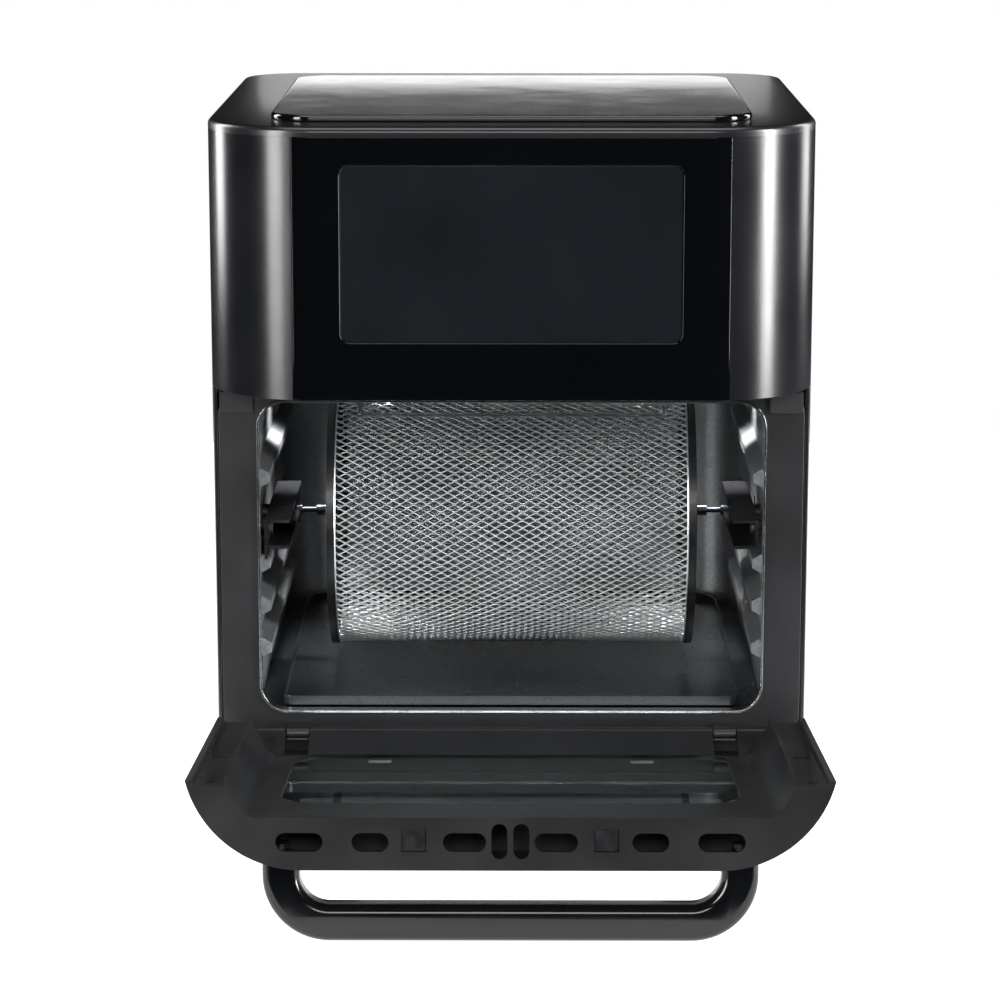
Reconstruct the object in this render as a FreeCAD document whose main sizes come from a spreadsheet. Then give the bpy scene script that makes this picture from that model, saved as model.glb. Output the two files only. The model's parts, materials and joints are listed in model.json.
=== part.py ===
import FreeCAD, Part
import math
import os
import re
import Sketcher
from FreeCAD import Vector

# Rotisserie oven. Origin on the counter under the middle of the body,
# +X to the right, +Y to the back, +Z up. Millimetres.

doc = FreeCAD.newDocument("rotisserie_oven")

driving = {
    # body seen from outside
    "body_width": 318.4,
    "body_depth": 328,
    "base_height": 31,
    "cover_underside": 384,
    "cover_thick": 5,
    "cover_edge": 3,
    "front_corner": 58,
    "rear_corner": 34,
    "wall": 2,
    "seam": 0.4,
    "fit_gap": 0.3,
    "island_half": 125.5,
    "island_front": 27,
    "island_back": 270,
    "island_rise": 3.5,
    "island_corner": 22,
    # openings in the outer panels
    "vent_wide": 4,
    "vent_pitch": 10,
    "vent_start": 170,
    "side_vent_low": 330,
    "side_vent_high": 368,
    "rear_vent_half": 90,
    "rear_vent_low": 300,
    "rear_vent_high": 360,
    "low_vent_half": 60,
    "low_vent_bottom": 60,
    "low_vent_top": 100,
    "rear_screw_inset": 8,
    "rear_screw_edge": 14,
    # base pan
    "pan_tall": 12,
    "pan_sheet": 1.5,
    "pan_slot_half": 40,
    "pan_vent_half": 60,
    # feet
    "foot_side": 98,
    "foot_front": 64,
    "foot_back": 54,
    "foot_radius": 18.5,
    "foot_taper": 2,
    "pad_radius": 13.8,
    "pad_thick": 4,
    "pad_sunk": 2,
    "pad_gap": 0.2,
    "foot_screw_long": 16,
    # control housing
    "housing_bottom": 248,
    "housing_wall": 4,
    "gloss_half": 112.5,
    "gloss_thick": 2.5,
    "display_half": 88,
    "display_low": 278,
    "display_tall": 91.5,
    "display_corner": 5,
    "lens_sunk": 0.4,
    "board_thick": 1.6,
    "board_margin": 5,
    "led_half": 60,
    "led_inset": 20,
    "chip_side": 32,
    "chip_half": 12,
    "chip_tall": 4.4,
    # opening frame
    "frame_depth": 45.6,
    "frame_thick": 6,
    "frame_inset": 3.6,
    "frame_corner": 14,
    "opening_half": 135.4,
    "opening_low": 68.8,
    "opening_high": 240,
    "opening_corner": 15,
    "trim_thick": 1.2,
    "bumper_inner": 137,
    "bumper_tall": 11.3,
    "bumper_thick": 1.2,
    "bumper_drop": 3.5,
    # cavity
    "sheet_metal": 1,
    "cavity_half": 137,
    "cavity_low": 68,
    "cavity_high": 262,
    "cavity_rear": 302,
    "cavity_corner": 26,
    "rib_reach": 7,
    "rib_tall": 13,
    "rib_flat": 5,
    "lowest_rib": 101,
    "rib_pitch": 23.5,
    "rib_front": 60,
    "rib_back": 262,
    "dimple_side": 90,
    "dimple_front": 90,
    "dimple_back": 260,
    "dimple_radius": 8,
    "dimple_gap": 0.4,
    "probe_side": -110,
    "probe_depth": 260,
    "probe_radius": 3.1,
    "probe_gap": 0.1,
    "probe_drop": 26,
    "probe_long": 34,
    # turning basket
    "drum_depth": 150,
    "drum_axis": 158.5,
    "drum_radius": 74,
    "drum_wall": 1,
    "drum_half": 100.8,
    "cap_lip": 4.5,
    "cap_sheet": 1.2,
    "cap_radius": 75.4,
    "cap_gap": 0.05,
    "boss_radius": 7,
    "boss_long": 3.5,
    "spit_radius": 3.15,
    "spit_neck": 1.6,
    "neck_start": 110,
    "neck_end": 118,
    "spit_end": 130,
    "spit_inside": 6,
    "lid_angle": 84,
    "lid_start": 40,
    "lid_half": 84,
    "lid_gap": 0.5,
    "hinge_wire": 1,
    "wire_gap": 0.08,
    "wire_lift": 0.3,
    "wire_turn": 1.6,
    "wire_past": 6,
    "eye_long": 4,
    "eye_wall": 1.2,
    "curl_inset": 14,
    "curl_long": 12,
    "curl_wall": 0.8,
    "bolt_radius": 1.4,
    "bolt_gap": 0.1,
    "bolt_long": 26,
    "bolt_back": 24,
    "latch_turn": 6,
    "latch_lift": 2.4,
    "knob_back": 12,
    "knob_long": 3,
    "knob_wall": 0.6,
    "guide_near": 5,
    "guide_far": 22,
    "guide_long": 2,
    "guide_wall": 1.2,
    # spit brackets
    "bracket_gap": 0.4,
    "bracket_back": 157,
    "bracket_inner": 119,
    "bracket_outer": 132.5,
    "bracket_sheet": 1.5,
    "bracket_top": 173.5,
    "bracket_low": 158,
    "cradle_low": 153.5,
    "cradle_front": 144,
    "cradle_gap": 4,
    "bracket_screw_near": 20,
    "bracket_screw_far": 55,
    "spacer_radius": 5,
    "flat_head": 1.5,
    "screw_tail": 4,
    # drive
    "socket_radius": 6,
    "socket_start": 127.5,
    "socket_end": 135.6,
    "square_size": 4.3,
    "socket_gap": 0.3,
    "output_radius": 3,
    "running_gap": 0.05,
    "socket_clear": 2,
    "socket_floor": 1.6,
    "square_end": 0.6,
    "output_long": 11,
    "output_overlap": 0.5,
    "gearmotor_radius": 24,
    "gearmotor_start": 140,
    "gearmotor_end": 154,
    "gear_lug_sheet": 1.5,
    "gear_lug_half": 34,
    "gear_lug_tall": 6,
    "standoff_side": 29,
    "standoff_radius": 3.5,
    # tray
    "tray_low": 70.5,
    "tray_high": 75.6,
    "tray_gap": 11.4,
    "tray_corner": 24,
    "tray_front": 54,
    "tray_front_corner": 6,
    "tray_back_gap": 3,
    "tray_sheet": 1,
    # hot air system
    "fan_depth": 174,
    "guard_radius": 92,
    "guard_hole": 4.5,
    "shroud_radius": 104,
    "shroud_top": 298,
    "element_level": 270,
    "element_radius": 3.2,
    "lead_radius": 2.4,
    "lead_gap": 0.6,
    "lead_rise": 12,
    "element_inner": 62,
    "element_outer": 84,
    "fan_radius": 55,
    "fan_low": 278,
    "blade_tall": 10,
    "wheel_sheet": 1.2,
    "hub_wall": 4,
    "cold_fan_gap": 5,
    "cold_fan_radius": 43,
    "cold_blade_tall": 8,
    "shaft_radius": 3,
    "shaft_top": 370,
    "shaft_clear": 3,
    "motor_low": 306,
    "motor_high": 346,
    "motor_radius": 32,
    "coil_reach": 10,
    "coil_half": 14,
    "coil_inset": 8,
    "bridge_half": 58,
    "bridge_wide": 36,
    "bridge_leg": 8,
    "bridge_sheet": 2,
    # boards and terminals
    "power_side": 150,
    "power_front": 110,
    "power_back": 250,
    "power_low": 276,
    "power_high": 368,
    "terminal_side": -80,
    "terminal_half": 20,
    "terminal_deep": 16,
    "terminal_low": 120,
    "terminal_tall": 18,
    # door, drawn shut and then swung open
    "door_open": 84,
    "door_low": 62,
    "door_high": 246,
    "door_skin": 3,
    "door_deep": 26,
    "ear_deep": 44,
    "ear_inner": 138,
    "door_wall": 3,
    "hinge_depth": 35,
    "hinge_level": 60,
    "window_half": 115,
    "window_low": 70,
    "window_high": 209,
    "window_corner": 20,
    "view_low": 76,
    "view_high": 196,
    "pane_thick": 3,
    "clip_side": 70,
    "clip_half": 6,
    "clip_thick": 1.5,
    "clip_hold": 1,
    "baffle_gap": 1.5,
    "baffle_thick": 2,
    "slot_front": 9.2,
    "slot_wide": 9.3,
    "strike_side": 46.7,
    "strike_wide": 12,
    "strike_long": 11,
    "strike_seat": 2,
    "strike_thick": 1.6,
    "catch_thick": 1.5,
    "handle_half": 122,
    "handle_leg": 18.4,
    "handle_reach": 40,
    "handle_low": 209,
    "handle_tall": 18,
    "handle_outer": 33,
    "handle_edge": 5,
    "handle_root": 5,
    "handle_bite": 12,
    "handle_screw_gap": 2.6,
    "round_head": 2.5,
    "pin_radius": 1.6,
    "knuckle_radius": 3.6,
    "end_rise": 20,
    "dish_reach": 13,
    "fin_tall": 2.5,
    "fin_thick": 1.6,
    "fin_short": 12,
    "ear_hole_side": 9,
    "ear_hole_down": 12,
    "ear_hole_radius": 3.4,
    "ear_slot_half": 4,
    "ear_slot_level": 102,
    "ear_slot_tall": 6,
    "notch_near": 1.4,
    "notch_far": 9.2,
    "notch_front": 5.7,
    "lug_inner": 100,
    "lug_outer": 108,
    "knuckle_gap": 0.6,
    "knuckle_long": 12,
    "knuckle_step": 0.6,
    # fasteners and cord inlet
    "screw_radius": 1.9,
    "screw_head": 3.8,
    "screw_gap": 0.15,
    "through": 3,
    "inlet_neck": 10,
    "inlet_flange": 3,
    "inlet_nut": 4,
    "inlet_nose": 4,
    "inlet_step": 2.3,
    "inlet_side": -110,
    "inlet_level": 62,
    "inlet_radius": 9.5,
    "cord_radius": 3.6,
}

sheet = doc.addObject("Spreadsheet::Sheet", "sizes")
for row, (alias, size) in enumerate(driving.items(), start=1):
    sheet.set(f"A{row}", alias)
    sheet.set(f"B{row}", str(size))
    sheet.setAlias(f"B{row}", alias)
doc.recompute()

aliasPattern = re.compile(r"\b(" + "|".join(driving) + r")\b")


def bound(text):
    """A size written with the sheet's words, as an expression."""
    return aliasPattern.sub(r"sizes.\1", str(text))


def value(text):
    """The number that a size comes to."""
    return float(sheet.evalExpression(bound(text)))


# building blocks

turns = {
    "X": FreeCAD.Rotation(Vector(0, 1, 0), 90),
    "Y": FreeCAD.Rotation(Vector(1, 0, 0), -90),
    "Z": FreeCAD.Rotation(),
}


def place(thing, start):
    for letter, size in zip("xyz", start):
        thing.setExpression("Placement.Base." + letter, bound(size))


def block(name, across, along, upward):
    """A box between a low and a high size on each axis."""
    box = doc.addObject("Part::Box", name)
    spans = zip(("Length", "Width", "Height"), (across, along, upward))
    for side, (low, high) in spans:
        box.setExpression(side, bound(f"({high}) - ({low})"))
    place(box, (across[0], along[0], upward[0]))
    return box


def slope(name, across, level, near, far):
    """A wedge along X that reaches between depths near at the low level and far at the high one."""
    wedge = doc.addObject("Part::Wedge", name)
    wedge.Placement = FreeCAD.Placement(Vector(), FreeCAD.Rotation(Vector(1, 0, 0), 90))
    limits = {"Xmin": across[0], "Xmax": across[1], "X2min": across[0], "X2max": across[1],
              "Ymin": level[0], "Ymax": level[1], "Zmin": f"-({near[1]})", "Zmax": f"-({near[0]})",
              "Z2min": f"-({far[1]})", "Z2max": f"-({far[0]})"}
    for limit, size in limits.items():
        wedge.setExpression(limit, bound(size))
    return wedge


def rod(name, axis, start, length, radius):
    """A cylinder from its start point along an axis."""
    cylinder = doc.addObject("Part::Cylinder", name)
    cylinder.Placement = FreeCAD.Placement(Vector(), turns[axis])
    cylinder.setExpression("Radius", bound(radius))
    cylinder.setExpression("Height", bound(length))
    place(cylinder, start)
    return cylinder


def ring(name, centre, radius, thickness):
    """A torus lying flat."""
    torus = doc.addObject("Part::Torus", name)
    torus.setExpression("Radius1", bound(radius))
    torus.setExpression("Radius2", bound(thickness))
    place(torus, centre)
    return torus


def fuse(name, *pieces):
    joined = doc.addObject("Part::MultiFuse", name)
    joined.Shapes = list(pieces)
    joined.Refine = True
    return joined


def cut(name, base, *tools):
    result = doc.addObject("Part::Cut", name)
    result.Base = base
    result.Tool = tools[0] if len(tools) == 1 else fuse(name + "_tools", *tools)
    result.Refine = True
    return result


def common(name, first, second):
    result = doc.addObject("Part::Common", name)
    result.Base = first
    result.Tool = second
    result.Refine = True
    return result


def group(name, *pieces):
    """Loose pieces of one kind, kept as separate solids."""
    result = doc.addObject("Part::Compound", name)
    result.Links = list(pieces)
    return result


def rectangle(left, right, low, high, radius=None):
    """Corners of a rectangle with one corner radius."""
    return [(left, low, radius), (right, low, radius), (right, high, radius), (left, high, radius)]


def footprint(inset="0"):
    """Plan of the body: large front corners, smaller rear ones."""
    half = f"body_width/2 - {inset}"
    deep = f"body_depth/2 - {inset}"
    front = f"front_corner - {inset}"
    rear = f"rear_corner - {inset}"
    return [(f"-({half})", f"-({deep})", front), (half, f"-({deep})", front),
            (half, deep, rear), (f"-({half})", deep, rear)]


def outline(sketch, corners, closed=True):
    """Draws a closed outline, or an open path. Sloping sides have sharp corners only."""
    points = [Vector(value(u), value(v), 0) for u, v, radius in corners]
    radii = [value(radius) if radius else 0 for u, v, radius in corners]
    count = len(points)
    leave = []
    arrive = []
    for i, point in enumerate(points):
        back = (points[i - 1] - point).normalize()
        ahead = (points[(i + 1) % count] - point).normalize()
        arrive.append(point + back * radii[i])
        leave.append(point + ahead * radii[i])
    sides = []
    for i in range(count if closed else count - 1):
        line = Part.LineSegment(leave[i], arrive[(i + 1) % count])
        sides.append(sketch.addGeometry(line))
    rounded = any(radii)
    for i, side in enumerate(sides):
        step = points[(i + 1) % count] - points[i]
        u, v, radius = corners[i]
        if not rounded:
            sketch.addConstraint(Sketcher.Constraint("Coincident", sides[i - 1], 2, side, 1))
            wide = sketch.addConstraint(Sketcher.Constraint("DistanceX", -1, 1, side, 1, points[i].x))
            tall = sketch.addConstraint(Sketcher.Constraint("DistanceY", -1, 1, side, 1, points[i].y))
            sketch.setExpression(f"Constraints[{wide}]", bound(u))
            sketch.setExpression(f"Constraints[{tall}]", bound(v))
        elif abs(step.y) < abs(step.x):
            sketch.addConstraint(Sketcher.Constraint("Horizontal", side))
            tall = sketch.addConstraint(Sketcher.Constraint("DistanceY", -1, 1, side, 1, points[i].y))
            sketch.setExpression(f"Constraints[{tall}]", bound(v))
        else:
            sketch.addConstraint(Sketcher.Constraint("Vertical", side))
            wide = sketch.addConstraint(Sketcher.Constraint("DistanceX", -1, 1, side, 1, points[i].x))
            sketch.setExpression(f"Constraints[{wide}]", bound(u))
    if rounded:
        roundCorners(sketch, corners, points, radii, arrive, leave, sides)
    if not closed:
        for side, end, corner, point in ((sides[0], 1, corners[0], points[0]),
                                         (sides[-1], 2, corners[-1], points[-1])):
            tall = sketch.addConstraint(Sketcher.Constraint("DistanceY", -1, 1, side, end, point.y))
            sketch.setExpression(f"Constraints[{tall}]", bound(corner[1]))


def roundCorners(sketch, corners, points, radii, arrive, leave, sides):
    for i, radius in enumerate(radii):
        if len(sides) < len(radii) and i in (0, len(sides)):
            continue
        if radius == 0:
            sketch.addConstraint(Sketcher.Constraint("Coincident", sides[i - 1], 2, sides[i], 1))
            continue
        centre = arrive[i] + leave[i] - points[i]
        middle = centre + (points[i] - centre).normalize() * radius
        arc = sketch.addGeometry(Part.Arc(arrive[i], middle, leave[i]))
        starts = (sketch.Geometry[arc].StartPoint - arrive[i]).Length < 1e-6
        near, far = (1, 2) if starts else (2, 1)
        sketch.addConstraint(Sketcher.Constraint("Tangent", sides[i - 1], 2, arc, near))
        sketch.addConstraint(Sketcher.Constraint("Tangent", sides[i], 1, arc, far))
        size = sketch.addConstraint(Sketcher.Constraint("Radius", arc, radius))
        sketch.setExpression(f"Constraints[{size}]", bound(corners[i][2]))


def sketchOn(body, name, plane, offset, corners, closed=True):
    sketch = body.newObject("Sketcher::SketchObject", name)
    support = next(item for item in body.Origin.OriginFeatures if item.Role == plane)
    sketch.AttachmentSupport = (support, [""])
    sketch.MapMode = "FlatFace"
    sketch.setExpression("AttachmentOffset.Base.z", bound(offset))
    outline(sketch, corners, closed)
    return sketch


def prism(name, plane, corners, low, high):
    """A body padded between two levels along the plane's normal."""
    body = doc.addObject("PartDesign::Body", name)
    offset = f"-({high})" if plane == "XZ_Plane" else low
    sketch = sketchOn(body, name + "_outline", plane, offset, corners)
    pad = body.newObject("PartDesign::Pad", name + "_pad")
    pad.Profile = sketch
    pad.setExpression("Length", bound(f"({high}) - ({low})"))
    doc.recompute()
    return body


def pocket(body, name, plane, corners, low, high):
    """Cuts an outline out of a body between two levels."""
    before = body.Shape.Volume
    offset = f"-({low})" if plane == "XZ_Plane" else high
    sketch = sketchOn(body, name + "_outline", plane, offset, corners)
    hollow = body.newObject("PartDesign::Pocket", name)
    hollow.Profile = sketch
    hollow.setExpression("Length", bound(f"({high}) - ({low})"))
    doc.recompute()
    if body.Shape.Volume >= before:
        raise RuntimeError(name + " cuts nothing")
    return hollow


def rowOf(body, feature, axis, length, count):
    """Repeats a feature in a straight row."""
    pattern = body.newObject("PartDesign::LinearPattern", feature.Name + "_row")
    pattern.Originals = [feature]
    direction = next(item for item in body.Origin.OriginFeatures if item.Role == axis)
    pattern.Direction = (direction, [""])
    pattern.setExpression("Length", bound(length))
    pattern.Occurrences = count
    body.Tip = pattern
    doc.recompute()
    return pattern


def roundEdges(body, name, radius, chosen):
    """Rounds the edges of a body that a test picks."""
    doc.recompute()
    names = [f"Edge{i}" for i, edge in enumerate(body.Shape.Edges, start=1) if chosen(edge)]
    base = body.Tip
    fillet = body.newObject("PartDesign::Fillet", name)
    fillet.Base = (base, names)
    fillet.setExpression("Radius", bound(radius))
    body.Tip = fillet
    doc.recompute()
    return fillet


nodes = {}


def keep(piece, label):
    """Names a finished sub-part."""
    piece.Label = label
    nodes[label] = piece
    return piece


def depth(size):
    """A distance behind the front face, as a place along Y."""
    return f"({size}) - body_depth/2"


def mirrored(side, low, high):
    """A span on the right, or its mirror image on the left."""
    if side > 0:
        return (low, high)
    return (f"-({high})", f"-({low})")


sides = {"left": -1, "right": 1}
coverTop = "cover_underside + cover_thick"
split = depth("front_corner")
frameFace = depth("frame_depth")
frameBack = depth("frame_depth + frame_thick")

# outer panels

skinOuter = prism("skin_outer", "XY_Plane", footprint(), "base_height", "cover_underside")
skinInner = prism("skin_inner", "XY_Plane", footprint("wall"), "base_height - 1", "cover_underside + 1")
skin = cut("skin", skinOuter, skinInner)

ventCount = 9
for name, side in sides.items():
    outward = mirrored(side, "body_width/2 - rear_corner", "body_width/2 + 1")
    upper = block(name + "_rear_zone", outward, (split + " + seam", "body_depth/2 + 1"),
                  ("base_height", "cover_underside"))
    cheek = mirrored(side, "body_width/2 - front_corner", "body_width/2 + 1")
    lower = block(name + "_front_zone", cheek, (frameFace, split + " + 1"),
                  ("base_height", "housing_bottom - seam"))
    panel = common(name + "_panel", skin, fuse(name + "_zone", upper, lower))
    slots = []
    for i in range(ventCount):
        start = depth(f"vent_start + {i}*vent_pitch")
        slots.append(block(f"{name}_vent_{i}", outward, (start, start + " + vent_wide"),
                           ("side_vent_low", "side_vent_high")))
    keep(cut(name + "_side", panel, *slots), "side_panel_" + name)

rearHalf = "body_width/2 - rear_corner - seam"
rear = prism("rear", "XZ_Plane", rectangle(f"-({rearHalf})", rearHalf, "base_height", "cover_underside"),
             "body_depth/2 - wall", "body_depth/2")
ventEnd = "vent_wide/2 - 0.1"
for name, half, low, high, count in (("rear_vent", "rear_vent_half", "rear_vent_low", "rear_vent_high", 17),
                                     ("low_vent", "low_vent_half", "low_vent_bottom", "low_vent_top", 9)):
    vent = pocket(rear, name, "XZ_Plane", rectangle(f"-{half}", f"-{half} + vent_wide", low, high, ventEnd),
                  "body_depth/2 - wall - 1", "body_depth/2 + 1")
    rowOf(rear, vent, "X_Axis", f"2*{half} - vent_wide", count)
inletHole = rod("inlet_hole", "Y", ("inlet_side", "body_depth/2 - wall - 1", "inlet_level"),
                "wall + 2", "inlet_radius - inlet_step + fit_gap")
rearScrews = []
rearHoles = []
rearScrewLevels = ("base_height + rear_screw_edge", "(base_height + cover_underside)/2",
                   "cover_underside - rear_screw_edge")
for i, (across, level) in enumerate([(a, b) for a in (-1, 1) for b in rearScrewLevels]):
    spot = f"{across}*(body_width/2 - rear_corner - rear_screw_inset)"
    hole = rod(f"rear_hole_{i}", "Y", (spot, "body_depth/2 - wall - 1", level), "wall + 2",
               "screw_radius + screw_gap")
    shank = rod(f"rear_shank_{i}", "Y", (spot, "body_depth/2 - 9", level), "9", "screw_radius")
    head = rod(f"rear_head_{i}", "Y", (spot, "body_depth/2", level), "2", "screw_head")
    rearHoles.append(hole)
    rearScrews.append(fuse(f"rear_screw_{i}", shank, head))
keep(cut("rear_cut", rear, inletHole, *rearHoles), "rear_panel")
keep(group("rear_screw_set", *rearScrews), "rear_screws")

# base pan and feet

panOuter = prism("pan_outer", "XY_Plane", footprint("(wall + fit_gap)"), "base_height",
                 "base_height + pan_tall")
panInner = prism("pan_inner", "XY_Plane", footprint("(wall + fit_gap + pan_sheet)"),
                 "base_height + pan_sheet", "base_height + pan_tall + 1")
panZone = block("pan_zone", ("-body_width/2", "body_width/2"), (frameBack, "body_depth/2"),
                ("base_height - 1", "base_height + pan_tall + 1"))
pan = common("pan", cut("pan_tray", panOuter, panInner), panZone)
panHoles = []
feet = []
pads = []
footScrews = []
for name, side in sides.items():
    for end, footY in (("front", depth("foot_front")), ("rear", "body_depth/2 - foot_back")):
        label = f"{end}_{name}"
        footX = f"{side}*foot_side"
        cone = doc.addObject("Part::Cone", "foot_cone_" + label)
        cone.setExpression("Radius1", bound("foot_radius - foot_taper"))
        cone.setExpression("Radius2", bound("foot_radius"))
        cone.setExpression("Height", bound("base_height - pad_thick + pad_sunk"))
        place(cone, (footX, footY, "pad_thick - pad_sunk"))
        seat = rod("foot_seat_" + label, "Z", (footX, footY, "0"), "pad_thick", "pad_radius + pad_gap")
        bore = rod("foot_bore_" + label, "Z", (footX, footY, "base_height - foot_screw_long - 2"),
                   "foot_screw_long + pan_sheet + through",
                   "screw_radius + screw_gap")
        feet.append(cut("foot_" + label, cone, seat, bore))
        pads.append(rod("pad_" + label, "Z", (footX, footY, "0"), "pad_thick", "pad_radius"))
        shank = rod("foot_shank_" + label, "Z", (footX, footY, "base_height - foot_screw_long"),
                    "foot_screw_long + pan_sheet", "screw_radius")
        head = rod("foot_head_" + label, "Z", (footX, footY, "base_height + pan_sheet"), "round_head",
                   "screw_head")
        footScrews.append(fuse("foot_screw_" + label, shank, head))
        panHoles.append(bore)
panVentCount = 12
for i in range(panVentCount):
    start = f"-pan_vent_half + {i}*vent_pitch"
    panHoles.append(block(f"pan_slot_{i}", (start, start + " + vent_wide"), ("-pan_slot_half", "pan_slot_half"),
                          ("base_height - 1", "base_height + pan_sheet + 1")))
keep(cut("pan_cut", pan, *panHoles), "base_pan")
keep(group("foot_set", *feet), "feet")
keep(group("pad_set", *pads), "foot_pads")
keep(group("foot_screw_set", *footScrews), "foot_screws")

# control housing, gloss panel and display

housingOuter = prism("housing_outer", "XY_Plane", footprint(), "housing_bottom", "cover_underside")
housingInner = prism("housing_inner", "XY_Plane", footprint("housing_wall"),
                     "housing_bottom + housing_wall", "cover_underside + 1")
behindZone = block("housing_behind", ("-body_width/2 - 1", "body_width/2 + 1"),
                   (split, "body_depth/2 + 1"), ("housing_bottom - 1", "cover_underside + 1"))
cavityZone = block("housing_over_cavity", ("-(body_width/2 - housing_wall)", "body_width/2 - housing_wall"),
                   (frameFace, split + " + 1"), ("housing_bottom - 1", "housing_bottom + housing_wall + 1"))
glossRecess = block("gloss_recess", ("-(gloss_half + fit_gap)", "gloss_half + fit_gap"),
                    (depth("-1"), depth("gloss_thick")), ("housing_bottom - 1", "cover_underside + 1"))
boardWindow = block("board_window", ("-(display_half - 2)", "display_half - 2"),
                    (depth("0"), depth("housing_wall + 1")),
                    ("display_low + 2", "display_low + display_tall - 2"))
keep(cut("housing", housingOuter, housingInner, behindZone, cavityZone, glossRecess, boardWindow),
     "front_housing")

glossZone = block("gloss_zone", ("-gloss_half", "gloss_half"), (depth("-1"), depth("gloss_thick")),
                  ("housing_bottom", "cover_underside"))
displayHole = prism("display_hole", "XZ_Plane",
                    rectangle("-display_half", "display_half", "display_low", "display_low + display_tall",
                              "display_corner"), depth("-1"), depth("gloss_thick + 1"))
keep(cut("gloss_cut", common("gloss_curved", housingOuter, glossZone), displayHole), "control_panel")
lens = prism("lens", "XZ_Plane",
             rectangle("-display_half + fit_gap", "display_half - fit_gap", "display_low + fit_gap",
                       "display_low + display_tall - fit_gap", "display_corner - fit_gap"),
             depth("lens_sunk"), depth("gloss_thick"))
keep(lens, "display_lens")

boardFace = "housing_wall + 1"
displayMiddle = "display_low + display_tall/2"
ledFrame = block("led_frame", ("-led_half", "led_half"), (depth("gloss_thick"), depth(boardFace)),
                 ("display_low + led_inset", "display_low + display_tall - led_inset"))
board = block("touch_card", ("-display_half - board_margin", "display_half + board_margin"),
              (depth(boardFace), depth(boardFace + " + board_thick")),
              ("display_low - board_margin", "display_low + display_tall + board_margin"))
chip = block("touch_chip", ("chip_side - chip_half", "chip_side + chip_half"),
             (depth(boardFace + " + board_thick"), depth(boardFace + " + board_thick + chip_tall")),
             (displayMiddle + " - chip_half", displayMiddle + " + chip_half"))
keep(fuse("touch_board_body", ledFrame, board, chip), "touch_board")

# top

cover = prism("cover", "XY_Plane", footprint(), "cover_underside", coverTop)
topLevel = value(coverTop)
roundEdges(cover, "cover_round", "cover_edge", lambda edge: edge.BoundBox.ZMin > topLevel - 0.01)
keep(cover, "top_cover")
island = prism("island", "XY_Plane",
               rectangle("-island_half", "island_half", depth("island_front"), depth("island_back"),
                         "island_corner"), coverTop, coverTop + " + island_rise")
islandTop = value(coverTop + " + island_rise")
roundEdges(island, "island_round", "island_rise/2", lambda edge: edge.BoundBox.ZMin > islandTop - 0.01)
keep(island, "top_island")

# frame round the opening

frame = prism("front_frame", "XZ_Plane",
              rectangle("-(body_width/2 - frame_inset)", "body_width/2 - frame_inset", "base_height + 1",
                        "housing_bottom - 2", "frame_corner"), frameFace, frameBack)
openingCorners = rectangle("-opening_half", "opening_half", "opening_low", "opening_high", "opening_corner")
pocket(frame, "frame_opening", "XZ_Plane", openingCorners, depth("frame_depth - 1"),
       depth("frame_depth + frame_thick + 1"))
keep(frame, "opening_frame")

trim = prism("trim", "XZ_Plane", openingCorners, depth("frame_depth - trim_thick"), frameBack)
pocket(trim, "trim_opening", "XZ_Plane",
       rectangle("-opening_half + trim_thick", "opening_half - trim_thick", "opening_low + trim_thick",
                 "opening_high - trim_thick", "opening_corner - trim_thick"),
       depth("frame_depth - trim_thick - 1"), depth("frame_depth + frame_thick + 1"))
keep(trim, "opening_trim")

bumpers = []
for name, side in sides.items():
    span = mirrored(side, "bumper_inner", "body_width/2 - frame_inset - 1")
    bumpers.append(block(name + "_bumper", span, (depth("frame_depth - bumper_thick"), frameFace),
                         ("housing_bottom - bumper_drop - bumper_tall", "housing_bottom - bumper_drop")))
keep(group("bumper_set", *bumpers), "door_bumpers")

# cavity

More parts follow.
